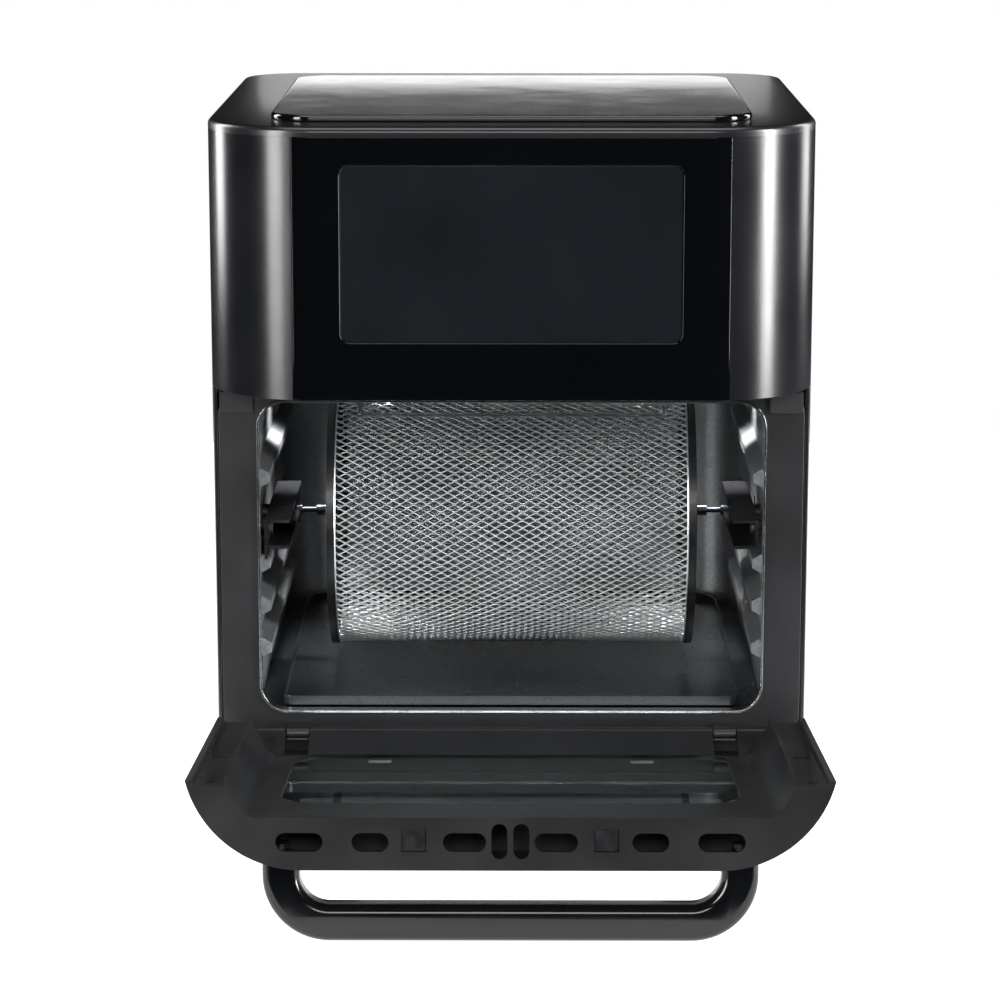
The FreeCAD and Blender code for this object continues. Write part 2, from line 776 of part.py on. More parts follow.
rearWall = depth("cavity_rear")
sideEnd = depth("cavity_rear - cavity_corner")
ribLevels = [f"lowest_rib + {step}*rib_pitch" for step in (0, 1, 2, 4)]
axisY = depth("drum_depth")
bracketFront = "frame_depth + frame_thick + bracket_gap"
bracketMiddle = "(bracket_low + bracket_top)/2"
screwDepths = [depth(bracketFront + " + bracket_screw_near"), depth(bracketFront + " + bracket_screw_far")]
socketHole = rod("socket_hole", "X", ("bracket_outer - bracket_sheet - 1", axisY, "drum_axis"), "rib_tall + rib_reach",
                 "socket_radius + socket_clear")
bracketScrews = []
for name, side in sides.items():
    span = mirrored(side, "cavity_half", "cavity_half + sheet_metal")
    pieces = [block(name + "_cavity_sheet", span, (frameBack, sideEnd), ("cavity_low", "cavity_high"))]
    for i, level in enumerate(ribLevels):
        wallX = f"{side}*cavity_half"
        crestX = f"{side}*(cavity_half - rib_reach)"
        profile = [(wallX, f"{level} - rib_tall/2", None), (crestX, f"{level} - rib_flat/2", None),
                   (crestX, f"{level} + rib_flat/2", None), (wallX, f"{level} + rib_tall/2", None)]
        pieces.append(prism(f"{name}_rib_{i}", "XZ_Plane", profile, depth("rib_front"), depth("rib_back")))
    wall = fuse(name + "_cavity_wall", *pieces)
    holes = [socketHole] if side > 0 else []
    web = mirrored(side, "bracket_outer - bracket_sheet", "bracket_outer")
    fixings = []
    for i, screwY in enumerate(screwDepths):
        shankX = mirrored(side, "bracket_outer - bracket_sheet - flat_head", "cavity_half + screw_tail")
        headX = mirrored(side, "bracket_outer - bracket_sheet - flat_head", "bracket_outer - bracket_sheet")
        holeX = mirrored(side, "bracket_outer - bracket_sheet - flat_head", "cavity_half + screw_tail + 1")
        shank = rod(f"{name}_spit_shank_{i}", "X", (shankX[0], screwY, bracketMiddle),
                    f"({shankX[1]}) - ({shankX[0]})", "screw_radius")
        head = rod(f"{name}_spit_head_{i}", "X", (headX[0], screwY, bracketMiddle), "flat_head", "screw_head")
        bracketScrews.append(fuse(f"{name}_spit_screw_{i}", shank, head))
        fixings.append(rod(f"{name}_spit_hole_{i}", "X", (holeX[0], screwY, bracketMiddle),
                           f"({holeX[1]}) - ({holeX[0]})", "screw_radius + screw_gap"))
    keep(cut(name + "_cavity_side", wall, *holes, *fixings), "cavity_side_" + name)
    # spit bracket: two flanges on a web, with a cradle and a stop at the back
    flangeX = mirrored(side, "bracket_inner", "bracket_outer")
    top = block(name + "_bracket_top", flangeX, (depth(bracketFront), depth("bracket_back")),
                ("bracket_top - bracket_sheet", "bracket_top"))
    lowEnd = "cradle_front - cradle_gap" if side > 0 else "cradle_front"
    low = block(name + "_bracket_low", flangeX, (depth(bracketFront), depth(lowEnd)),
                ("bracket_low", "bracket_low + bracket_sheet"))
    cradle = block(name + "_cradle", flangeX, (depth("cradle_front - bracket_sheet"), depth("bracket_back")),
                   ("cradle_low - bracket_sheet", "cradle_low"))
    drop = block(name + "_cradle_front", flangeX,
                 (depth("cradle_front - bracket_sheet"), depth("cradle_front")),
                 ("cradle_low - bracket_sheet", "bracket_low + bracket_sheet"))
    stop = block(name + "_cradle_stop", flangeX, (depth("bracket_back - bracket_sheet"), depth("bracket_back")),
                 ("cradle_low - bracket_sheet", "bracket_top"))
    webLow = "bracket_low" if side > 0 else "cradle_low - bracket_sheet"
    back = block(name + "_bracket_web", web, (depth(bracketFront), depth("bracket_back")),
                 (webLow, "bracket_top"))
    spacers = []
    for i, screwY in enumerate(screwDepths):
        spacerX = mirrored(side, "bracket_outer", "cavity_half")
        spacers.append(rod(f"{name}_spacer_{i}", "X", (spacerX[0], screwY, bracketMiddle),
                           "cavity_half - bracket_outer", "spacer_radius"))
    rest = [cradle, drop, stop] if side < 0 else []
    whole = fuse(name + "_bracket", top, low, back, *rest, *spacers)
    keep(cut(name + "_bracket_cut", whole, *holes, *fixings), "spit_bracket_" + name)
keep(group("bracket_screw_set", *bracketScrews), "bracket_screws")


def cavityPlan(grow):
    half = f"cavity_half + {grow}"
    corner = f"cavity_corner + {grow}"
    return [(f"-({half})", frameBack, None), (half, frameBack, None),
            (half, rearWall + f" + {grow}", corner), (f"-({half})", rearWall + f" + {grow}", corner)]


backOuter = prism("back_outer", "XY_Plane", cavityPlan("sheet_metal"), "cavity_low", "cavity_high")
backInner = prism("back_inner", "XY_Plane", cavityPlan("0"), "cavity_low - 1", "cavity_high + 1")
backZone = block("back_zone", ("-body_width/2", "body_width/2"), (sideEnd, "body_depth/2"),
                 ("cavity_low", "cavity_high"))
keep(common("cavity_back_bend", cut("back_skin", backOuter, backInner), backZone), "cavity_back")

ceiling = prism("ceiling", "XY_Plane", cavityPlan("sheet_metal"), "cavity_high", "cavity_high + sheet_metal")
fanY = depth("fan_depth")
guardHole = rod("guard_hole", "Z", ("0", fanY, "cavity_high - 1"), "sheet_metal + 2", "guard_radius")
probeY = depth("probe_depth")
probeHole = rod("probe_hole", "Z", ("probe_side", probeY, "cavity_high - 1"), "sheet_metal + 2",
                "probe_radius + probe_gap")
keep(cut("ceiling_cut", ceiling, guardHole, probeHole), "cavity_ceiling")

floor = prism("floor", "XY_Plane", cavityPlan("sheet_metal"), "cavity_low - sheet_metal", "cavity_low")
dimples = []
dimpleSpots = [(a, b) for a in ("-dimple_side", "dimple_side") for b in ("dimple_front", "dimple_back")]
for i, (across, behind) in enumerate(dimpleSpots):
    dimples.append(rod(f"dimple_{i}", "Z", (across, depth(behind), "cavity_low - sheet_metal"),
                       "tray_low - dimple_gap - cavity_low + sheet_metal", "dimple_radius"))
keep(fuse("floor_sheet", floor, *dimples), "cavity_floor")

# hot air system above the ceiling

guardDisc = rod("guard_disc", "Z", ("0", fanY, "cavity_high"), "sheet_metal", "guard_radius - fit_gap")
guardHoles = []
firstCircle, circlePitch = 18, 16
firstCount, countStep = 8, 6
for circle in range(5):
    radius = firstCircle + circle * circlePitch
    count = firstCount + circle * countStep
    for i in range(count):
        angle = 2 * math.pi * i / count
        spot = (str(round(radius * math.cos(angle), 4)),
                fanY + f" + {round(radius * math.sin(angle), 4)}", "cavity_high - 1")
        guardHoles.append(rod(f"guard_hole_{circle}_{i}", "Z", spot, "sheet_metal + 2",
                              "guard_hole"))
keep(cut("guard", guardDisc, *guardHoles), "fan_guard")

canOuter = rod("can_outer", "Z", ("0", fanY, "cavity_high + sheet_metal"),
               "shroud_top - cavity_high - sheet_metal", "shroud_radius")
canInner = rod("can_inner", "Z", ("0", fanY, "cavity_high"), "shroud_top - cavity_high - sheet_metal",
               "shroud_radius - sheet_metal")
shaftHole = rod("can_shaft_hole", "Z", ("0", fanY, "shroud_top - through"), "2*through",
                "shaft_radius + shaft_clear")
rings = []
leads = []
leadHoles = []
ringTop = "element_level + element_radius"
for name, radius in (("inner", "element_inner"), ("outer", "element_outer")):
    rings.append(ring(name + "_element_ring", ("0", fanY, "element_level"), radius, "element_radius"))
    for i, side in enumerate((-1, 1)):
        across = f"{side}*{radius}"
        leads.append(rod(f"{name}_lead_{i}", "Z", (across, fanY, ringTop), f"shroud_top + lead_rise - ({ringTop})",
                         "lead_radius"))
        leadHoles.append(rod(f"{name}_lead_hole_{i}", "Z", (across, fanY, "shroud_top - through"), "2*through",
                             "lead_radius + lead_gap"))
keep(cut("can", canOuter, canInner, shaftHole, *leadHoles), "fan_shroud")
keep(group("element", *rings, *leads), "heating_element")


def bladedWheel(name, low, radius, height, count):
    """A flat disc with a hub and straight radial blades under it."""
    disc = rod(name + "_disc", "Z", ("0", fanY, f"{low} + {height}"), "wheel_sheet", radius)
    hub = rod(name + "_hub", "Z", ("0", fanY, low), f"{height} + hub_wall", "shaft_radius + hub_wall")
    blades = []
    for i in range(count):
        blade = doc.addObject("Part::Box", f"{name}_blade_{i}")
        blade.Placement = FreeCAD.Placement(Vector(), FreeCAD.Rotation(Vector(0, 0, 1), 360 * i / count))
        blade.setExpression("Length", bound(f"({radius}) - 2"))
        blade.setExpression("Width", bound("wheel_sheet"))
        blade.setExpression("Height", bound(f"({height}) + 0.5"))
        place(blade, ("0", fanY, low))
        blades.append(blade)
    bore = rod(name + "_bore", "Z", ("0", fanY, f"{low} - 1"), f"({height}) + 8", "shaft_radius")
    return cut(name, fuse(name + "_solid", disc, hub, *blades), bore)


keep(bladedWheel("hot_fan", "fan_low", "fan_radius", "blade_tall", 10), "circulation_fan")
keep(bladedWheel("cold_fan", "motor_high + cold_fan_gap", "cold_fan_radius", "cold_blade_tall", 12),
     "cooling_fan")
keep(rod("shaft", "Z", ("0", fanY, "fan_low - 1"), "shaft_top - fan_low + 1", "shaft_radius"), "fan_shaft")

stator = rod("stator", "Z", ("0", fanY, "motor_low"), "motor_high - motor_low", "motor_radius")
coil = block("stator_coil", ("-motor_radius - coil_reach", "motor_radius + coil_reach"),
             (fanY + " - coil_half", fanY + " + coil_half"), ("motor_low + coil_inset", "motor_high - coil_inset"))
motorBore = rod("motor_bore", "Z", ("0", fanY, "motor_low - 1"), "motor_high - motor_low + 2",
                "shaft_radius + running_gap")
keep(cut("fan_motor_body", fuse("stator_all", stator, coil), motorBore), "fan_motor")
bridgeY = (fanY + " - bridge_wide/2", fanY + " + bridge_wide/2")
bridge = block("bridge_plate", ("-bridge_half", "bridge_half"), bridgeY, ("motor_low - bridge_sheet", "motor_low"))
bridgeLegs = [block(f"bridge_leg_{name}", mirrored(side, "bridge_half - bridge_leg", "bridge_half"), bridgeY,
                    ("shroud_top", "motor_low - bridge_sheet/2")) for name, side in sides.items()]
bridgeHole = rod("bridge_hole", "Z", ("0", fanY, "motor_low - bridge_sheet - 1"), "2*through",
                 "shaft_radius + shaft_clear")
keep(cut("motor_bridge", fuse("bridge_all", bridge, *bridgeLegs), bridgeHole), "motor_bridge")
keep(rod("probe", "Z", ("probe_side", probeY, "cavity_high - probe_drop"), "probe_long", "probe_radius"),
     "temperature_probe")

# boards, terminals and cord inlet

card = block("power_card", ("-power_side", "-power_side + board_thick"),
             (depth("power_front"), depth("power_back")), ("power_low", "power_high"))
cardFace = "-power_side + board_thick/2"
parts = [
    block("transformer", (cardFace, cardFace + " + 25"), (depth("power_front + 10"), depth("power_front + 40")),
          ("power_low + 9", "power_low + 39")),
    block("relay", (cardFace, cardFace + " + 16"), (depth("power_front + 50"), depth("power_front + 70")),
          ("power_low + 14", "power_low + 42")),
    rod("capacitor", "X", (cardFace, depth("power_back - 45"), "power_low + 24"), "22", "8"),
    block("heat_sink", (cardFace, cardFace + " + 21"), (depth("power_back - 30"), depth("power_back - 10")),
          ("power_low + 14", "power_low + 64")),
]
keep(fuse("power_board_all", card, *parts), "power_board")
keep(block("terminals_body", ("terminal_side - terminal_half", "terminal_side + terminal_half"),
           ("body_depth/2 - wall - terminal_deep", "body_depth/2 - wall"),
           ("terminal_low", "terminal_low + terminal_tall")), "terminal_block")
inletY = "body_depth/2"
neckRadius = "inlet_radius - inlet_step"
neck = rod("neck", "Y", ("inlet_side", inletY + " - inlet_neck", "inlet_level"), "inlet_neck", neckRadius)
flange = rod("flange", "Y", ("inlet_side", inletY, "inlet_level"), "inlet_flange", "inlet_radius")
nut = rod("nut", "Y", ("inlet_side", inletY + " - wall - inlet_nut", "inlet_level"), "inlet_nut", "inlet_radius")
nose = rod("nose", "Y", ("inlet_side", inletY + " + inlet_flange", "inlet_level"), "inlet_nose", neckRadius)
cordBore = rod("cord_bore", "Y", ("inlet_side", inletY + " - inlet_neck - 1", "inlet_level"),
               "inlet_neck + inlet_flange + inlet_nose + 2", "cord_radius")
keep(cut("inlet", fuse("inlet_all", neck, flange, nut, nose), cordBore), "cord_inlet")

# basket drive

case = rod("gear_case", "X", ("gearmotor_start", axisY, "drum_axis"), "gearmotor_end - gearmotor_start",
           "gearmotor_radius")
lugs = block("gear_lugs", ("gearmotor_start", "gearmotor_start + gear_lug_sheet"),
             (axisY + " - gear_lug_half", axisY + " + gear_lug_half"),
             ("drum_axis - gear_lug_tall", "drum_axis + gear_lug_tall"))
shaftBore = rod("gear_bore", "X", ("gearmotor_start - 1", axisY, "drum_axis"), "output_long + 2",
                "output_radius + running_gap")
standoffs = [rod(f"gear_standoff_{i}", "X", ("cavity_half + sheet_metal", axisY + spot, "drum_axis"),
                 "gearmotor_start - cavity_half - sheet_metal", "standoff_radius")
             for i, spot in enumerate((" - standoff_side", " + standoff_side"))]
keep(cut("gearmotor", fuse("gear_all", case, lugs, *standoffs), shaftBore), "rotisserie_motor")

cup = rod("socket_cup", "X", ("socket_start", axisY, "drum_axis"), "socket_end - socket_start",
          "socket_radius")
output = rod("output_shaft", "X", ("socket_end - output_overlap", axisY, "drum_axis"),
             "gearmotor_start + output_long + output_overlap - socket_end", "output_radius")
squareHalf = "square_size/2 + socket_gap"
squareHole = block("square_hole", ("socket_start - 1", "socket_end - socket_floor"),
                   (axisY + f" - ({squareHalf})", axisY + f" + ({squareHalf})"),
                   (f"drum_axis - ({squareHalf})", f"drum_axis + ({squareHalf})"))
keep(cut("socket", fuse("socket_all", cup, output), squareHole), "drive_socket")

# drip tray

trayHalf = "opening_half - tray_gap"


def trayPlan(inset):
    half = f"{trayHalf} - {inset}"
    front = depth(f"tray_front + {inset}")
    back = f"{rearWall} - tray_back_gap - {inset}"
    frontCorner = f"tray_front_corner - {inset}"
    backCorner = f"tray_corner - {inset}"
    return [(f"-({half})", front, frontCorner), (half, front, frontCorner),
            (half, back, backCorner), (f"-({half})", back, backCorner)]


tray = prism("tray", "XY_Plane", trayPlan("0"), "tray_low", "tray_high")
pocket(tray, "tray_hollow", "XY_Plane", trayPlan("tray_sheet"), "tray_low + tray_sheet", "tray_high + 1")
keep(tray, "drip_tray")

# basket

tubeEnd = "drum_half - cap_sheet"
tube = cut("drum_tube",
           rod("tube_outer", "X", (f"-({tubeEnd})", axisY, "drum_axis"), f"2*({tubeEnd})", "drum_radius"),
           rod("tube_inner", "X", ("-drum_half - 1", axisY, "drum_axis"), "2*drum_half + 2",
               "drum_radius - drum_wall"))


def sector(name, half, start, angle):
    """A pie slice round the basket's axis, measured from straight back up and over to the front."""
    slice = doc.addObject("Part::Cylinder", name)
    toX = FreeCAD.Rotation(Vector(0, 1, 0), 90)
    slice.Placement = FreeCAD.Placement(Vector(), FreeCAD.Rotation(Vector(1, 0, 0), 90 + value(start)) * toX)
    slice.setExpression("Radius", bound("drum_radius + 5"))
    slice.setExpression("Height", bound(f"2*({half})"))
    slice.setExpression("Angle", bound(angle))
    place(slice, (f"-({half})", axisY, "drum_axis"))
    return slice


gapAngle = "lid_gap/drum_radius*57.3"
hatch = sector("hatch", "lid_half + lid_gap", f"lid_start - {gapAngle}", f"lid_angle + 2*{gapAngle}")
keep(cut("drum_shell", tube, hatch), "basket_shell")
lidSheet = common("lid_sheet", tube, sector("lid_slice", "lid_half", "lid_start", "lid_angle"))

# hinge wire along the lid's rear edge, held by the shell, with the lid's curls round it
wireTurn = math.radians(value("lid_start + wire_turn"))
wireRadius = "drum_radius + hinge_wire + wire_gap + wire_lift"
wireY = axisY + f" + ({wireRadius})*{round(math.cos(wireTurn), 5)}"
wireZ = f"drum_axis + ({wireRadius})*{round(math.sin(wireTurn), 5)}"
wire = rod("wire", "X", ("-lid_half - wire_past", wireY, wireZ), "2*lid_half + 2*wire_past", "hinge_wire")
wireEyes = []
for i, start in enumerate(("-lid_half - wire_past", "lid_half + wire_past - eye_long")):
    wireEyes.append(rod(f"wire_eye_{i}", "X", (start, wireY, wireZ), "eye_long", "hinge_wire + eye_wall"))
keep(cut("wire_with_eyes", fuse("wire_all", wire, *wireEyes), tube), "lid_hinge_wire")
curls = []
curlBores = []
curlCount = 4
for i in range(curlCount):
    start = f"-lid_half + curl_inset + {i}*(2*lid_half - 2*curl_inset - curl_long)/{curlCount - 1}"
    curls.append(rod(f"curl_{i}", "X", (start, wireY, wireZ), "curl_long", "hinge_wire + wire_gap + curl_wall"))
    curlBores.append(rod(f"curl_bore_{i}", "X", (start + " - 1", wireY, wireZ), "curl_long + 2",
                         "hinge_wire + wire_gap"))

# latch: a small bolt that slides in two guides along the lid's front edge at the right end
latchTurn = math.radians(value("lid_start + lid_angle - latch_turn"))
latchRadius = "drum_radius + latch_lift"
latchY = axisY + f" + ({latchRadius})*{round(math.cos(latchTurn), 5)}"
latchZ = f"drum_axis + ({latchRadius})*{round(math.sin(latchTurn), 5)}"
bolt = rod("latch_bolt", "X", ("lid_half - bolt_back", latchY, latchZ), "bolt_long", "bolt_radius")
knob = rod("latch_knob", "X", ("lid_half - knob_back", latchY, latchZ), "knob_long", "bolt_radius + knob_wall")
keep(fuse("latch", bolt, knob), "lid_latch")
guides = []
guideBores = []
for i, start in enumerate(("lid_half - guide_far", "lid_half - guide_near")):
    guides.append(rod(f"guide_{i}", "X", (start, latchY, latchZ), "guide_long", "bolt_radius + guide_wall"))
    guideBores.append(rod(f"guide_bore_{i}", "X", (start + " - 1", latchY, latchZ), "guide_long + 2",
                          "bolt_radius + bolt_gap"))
keep(cut("lid", fuse("lid_all", lidSheet, *curls, *guides), *curlBores, *guideBores), "basket_lid")

for name, side in sides.items():
    cupX = mirrored(side, "drum_half - cap_lip", "drum_half")
    outer = rod(name + "_cap_outer", "X", (cupX[0], axisY, "drum_axis"), "cap_lip", "cap_radius")
    hollowX = mirrored(side, "drum_half - cap_lip - 1", "drum_half - cap_sheet")
    inner = rod(name + "_cap_hollow", "X", (hollowX[0], axisY, "drum_axis"), "cap_lip - cap_sheet + 1",
                "drum_radius + cap_gap")
    bossX = mirrored(side, "drum_half - cap_sheet", "drum_half + boss_long")
    boss = rod(name + "_boss", "X", (bossX[0], axisY, "drum_axis"), "boss_long + cap_sheet", "boss_radius")
    boreX = mirrored(side, "drum_half - cap_sheet - through", "drum_half + boss_long + through")
    bore = rod(name + "_cap_bore", "X", (boreX[0], axisY, "drum_axis"), f"({boreX[1]}) - ({boreX[0]})",
               "spit_radius")
    cap = fuse(name + "_cap_all", cut(name + "_cap_cup", outer, inner), boss)
    keep(cut(name + "_cap", cap, bore), "basket_cap_" + name)
    root = mirrored(side, "drum_half - spit_inside", "neck_start")
    neckX = mirrored(side, "neck_start", "neck_end")
    tip = mirrored(side, "neck_end", "spit_end" if side < 0 else "socket_start - 1")
    pieces = [
        rod(f"{name}_spit_{end}", "X", (span[0], axisY, "drum_axis"), f"({span[1]}) - ({span[0]})", radius)
        for end, span, radius in (("root", root, "spit_radius"), ("neck", neckX, "spit_neck"),
                                  ("tip", tip, "spit_radius"))
    ]
    if side > 0:
        pieces.append(block("square_shank", ("socket_start - 1", "socket_end - socket_floor - square_end"),
                            (axisY + " - square_size/2", axisY + " + square_size/2"),
                            ("drum_axis - square_size/2", "drum_axis + square_size/2")))
    keep(fuse(name + "_spit", *pieces), "spit_" + name)

# door, drawn shut

doorPieces = []
doorOuter = prism("door_outer", "XY_Plane", footprint(), "door_low", "door_high")
doorInner = prism("door_inner", "XY_Plane", footprint("door_skin"), "door_low", "door_high")
doorZone = block("door_zone", ("-body_width/2 - 1", "body_width/2 + 1"), (depth("-1"), depth("ear_deep")),
                 ("door_low", "door_high"))
skinRing = common("door_skin_ring", cut("door_ring", doorOuter, doorInner), doorZone)
windowCorners = rectangle("-window_half", "window_half", "window_low", "window_high", "window_corner")
viewCorners = rectangle("-window_half", "window_half", "view_low", "view_high", "window_corner")
outerWindow = prism("outer_window", "XZ_Plane", viewCorners, depth("-1"), depth("door_skin + 1"))
handleHoles = []
handleScrews = []
handleBores = []
handleMiddle = "handle_low + handle_tall/2"
for name, side in sides.items():
    spot = f"{side}*(handle_half - handle_leg/2)"
    handleHoles.append(rod(name + "_handle_hole", "Y", (spot, depth("-1"), handleMiddle), "door_skin + through",
                           "screw_radius + screw_gap"))
    handleBores.append(rod(name + "_handle_bore", "Y", (spot, depth("-handle_bite - 1"), handleMiddle),
                           "handle_bite + door_skin + through", "screw_radius + screw_gap"))
    shank = rod(name + "_handle_shank", "Y", (spot, depth("-handle_bite"), handleMiddle),
                "handle_bite + door_skin + handle_screw_gap", "screw_radius")
    head = rod(name + "_handle_head", "Y", (spot, depth("door_skin + handle_screw_gap"), handleMiddle), "round_head",
               "screw_head")
    handleScrews.append(fuse(name + "_handle_screw", shank, head))
doorPieces.append(keep(cut("shell", skinRing, outerWindow, *handleHoles), "door_shell"))

frameSolid = common("inner_solid", doorInner, doorZone)
hingeY = depth("hinge_depth")
behind = block("behind_window", ("-ear_inner", "ear_inner"), (depth("door_deep"), depth("ear_deep + 1")),
               ("door_low - 1", "door_high + 1"))

# the space between the panes, and the air channel behind the top edge's slots
hollows = [block(name, ("-ear_inner + door_wall", "ear_inner - door_wall"),
                 (depth("door_skin - 1"), depth("door_deep - door_wall")), levels)
           for name, levels in (("pane_space", ("door_low + door_wall", "window_high + baffle_gap")),
                                ("air_channel", ("window_high + baffle_gap + baffle_thick",
                                                 "door_high - door_wall")))]
innerWindow = prism("inner_window", "XZ_Plane", windowCorners, depth("door_deep - door_wall - 1"),
                    depth("door_deep + 1"))
slotBack = "slot_front + slot_wide"
edgeCuts = []
slotSpans = ((22.2, 21), (68, 18), (102.4, 23))  # middle and length of the slots in one half of the edge
for i, (centre, length) in enumerate(slotSpans):
    for side in (-1, 1):
        low, high = side * centre - length / 2, side * centre + length / 2
        edgeCuts.append(prism(f"edge_slot_{i}_{side + 1}", "XY_Plane",
                              rectangle(str(low), str(high), depth("slot_front"), depth(slotBack),
                                        "slot_wide/2 - 0.05"), "door_high - door_wall - 1", "door_high + 1"))
for i, side in enumerate((-1, 1)):
    low, high = mirrored(side, "notch_near", "notch_far")
    notchPlan = rectangle(low, high, depth("notch_front"), depth("door_deep - door_wall"),
                          "(notch_far - notch_near)/2 - 0.05")
    edgeCuts.append(prism(f"edge_notch_{i}", "XY_Plane", notchPlan, "door_high - door_wall - 1",
                          "door_high + 1"))
    low, high = mirrored(side, "strike_side - strike_wide/2", "strike_side + strike_wide/2")
    edgeCuts.append(block(f"strike_seat_{i}", (low, high), (depth("slot_front"), depth("slot_front + strike_long")),
                          ("door_high - strike_seat", "door_high + 1")))
earCuts = []
dishes = []
hingeBores = []


def endRise(name, across):
    """The door's hinge end, which rises from the plate to a roll round the hinge axis."""
    roll = rod(name + "_roll", "X", (across[0], hingeY, "hinge_level"), f"({across[1]}) - ({across[0]})",
               "knuckle_radius")
    ramp = slope(name + "_ramp", across, ("hinge_level", "door_low + end_rise"),
                 (depth("door_deep - 2"), depth("hinge_depth + knuckle_radius")),
                 (depth("door_deep - 2"), depth("door_deep")))
    return fuse(name, roll, ramp)


hingeLugs = [endRise("middle_end", ("-lug_outer", "lug_outer"))]
for name, side in sides.items():
    middle = f"{side}*(ear_inner + ear_hole_side)"
    earCuts.append(rod(name + "_ear_hole", "Y", (middle, depth("ear_deep - 12"), "door_high - ear_hole_down"),
                       "13", "ear_hole_radius"))
    earCuts.append(block(name + "_ear_slot", (middle + " - ear_slot_half", middle + " + ear_slot_half"),
                         (depth("ear_deep - 2*fin_tall"), depth("ear_deep + 1")),
                         ("door_low + ear_slot_level", "door_low + ear_slot_level + ear_slot_tall")))
    earCuts.append(block(name + "_ear_step", mirrored(side, "ear_inner + fin_thick", "body_width/2 + 1"),
                         (depth("ear_deep - fin_tall"), depth("ear_deep + 1")),
                         ("door_low - 1", "door_high + 1")))
    earCuts.append(block(name + "_fin_end", mirrored(side, "ear_inner - 1", "ear_inner + fin_thick + 1"),
                         (depth("ear_deep - fin_tall"), depth("ear_deep + 1")),
                         ("door_high - fin_short", "door_high + 1")))
    dish = [("ear_inner + 0.5", "door_deep - 1"), ("ear_inner - dish_reach", "door_deep - 1"),
            ("ear_inner - dish_reach", "door_deep"), ("ear_inner - 0.5*dish_reach", "door_deep + 4"),
            ("ear_inner - 0.2*dish_reach", "door_deep + 10"), ("ear_inner", "ear_deep - fin_tall"),
            ("ear_inner + 0.5", "ear_deep - fin_tall")]
    dishPlan = [(f"{side}*({across})", depth(deep), None) for across, deep in dish]
    dishes.append(prism(name + "_dish", "XY_Plane", dishPlan, "door_low", "door_high"))
    endX = mirrored(side, "lug_outer + 2*knuckle_gap + knuckle_long", "ear_inner + 0.5")
    hingeLugs.append(endRise(name + "_end", endX))
    lugX = mirrored(side, "lug_inner", "lug_outer")
    hingeBores.append(rod(name + "_lug_bore", "X", (f"{lugX[0]} - 1", hingeY, "hinge_level"),
                          "lug_outer - lug_inner + 2", "pin_radius + running_gap"))
frameBody = cut("inner_hollowed", frameSolid, behind, *hollows, innerWindow, *edgeCuts, *earCuts)
frameAll = fuse("inner_with_lugs", frameBody, *dishes, *hingeLugs)
doorPieces.append(keep(cut("inner_frame", frameAll, *hingeBores, innerWindow), "door_inner_frame"))

pane = prism("outer_pane", "XZ_Plane",
             rectangle("-window_half + fit_gap", "window_half - fit_gap", "view_low + fit_gap",
                       "view_high - fit_gap", "window_corner - fit_gap"), depth("lens_sunk"), depth("door_skin"))
doorPieces.append(keep(pane, "outer_glass"))
pane = prism("inner_pane", "XZ_Plane",
             rectangle("-window_half + fit_gap", "window_half - fit_gap", "window_low + fit_gap",
                       "window_high - fit_gap", "window_corner - fit_gap"),
             depth("door_deep - pane_thick"), depth("door_deep"))
doorPieces.append(keep(pane, "inner_glass"))
clips = []
clipLevels = ("window_low - clip_hold", "window_high + clip_hold - clip_half")
for i, (across, level) in enumerate([(a, b) for a in ("-clip_side", "clip_side") for b in clipLevels]):
    clips.append(block(f"clip_{i}", (f"{across} - clip_half", f"{across} + clip_half"),
                       (depth("door_deep - pane_thick - clip_thick"), depth("door_deep - pane_thick")),
                       (level, f"{level} + clip_half")))
doorPieces.append(keep(group("clip_set", *clips), "glass_clips"))

# a rounded bar swept down one leg, across and up the other
handle = doc.addObject("PartDesign::Body", "grip")
legMiddle = "handle_half - handle_leg/2"
barMiddle = depth("handle_leg/2 - handle_reach")
bend = "handle_outer - handle_leg/2"
gripPath = sketchOn(handle, "grip_path", "XY_Plane", handleMiddle,
                    [(f"-({legMiddle})", depth("handle_root"), None), (f"-({legMiddle})", barMiddle, bend),
                     (legMiddle, barMiddle, bend), (legMiddle, depth("handle_root"), None)], closed=False)
gripSection = sketchOn(handle, "grip_section", "XZ_Plane", "body_depth/2 - handle_root",
                       rectangle("-handle_half", "handle_leg - handle_half", "handle_low",
                                 "handle_low + handle_tall", "handle_edge"))
doc.recompute()
grip = handle.newObject("PartDesign::AdditivePipe", "grip_bar")
grip.Profile = gripSection
grip.Spine = (gripPath, [f"Edge{i}" for i in range(1, 6)])
handle.Tip = grip
doc.recompute()
doorPieces.append(keep(cut("handle", handle, doorOuter, *handleBores), "door_handle"))
doorPieces.append(keep(group("handle_screw_set", *handleScrews), "handle_screws"))
strikes = []
catches = []
for name, side in sides.items():
    span = mirrored(side, "strike_side - strike_wide/2 + fit_gap", "strike_side + strike_wide/2 - fit_gap")
    along = (depth("slot_front + fit_gap"), depth("slot_front + strike_long - fit_gap"))
    strikes.append(block(name + "_strike", span, along, ("door_high - strike_seat",
                          "door_high - strike_seat + strike_thick")))
    catches.append(block(name + "_catch", span, along, ("housing_bottom - catch_thick", "housing_bottom")))
doorPieces.append(keep(group("strike_set", *strikes), "door_strikes"))
keep(group("catch_set", *catches), "magnet_catches")

hingePoint = Vector(0, value(hingeY), value("hinge_level"))
swing = FreeCAD.Rotation(Vector(1, 0, 0), value("door_open"))
for piece in doorPieces:
    piece.Placement = FreeCAD.Placement(Vector(), swing, hingePoint)

# hinge blocks and pins on the body

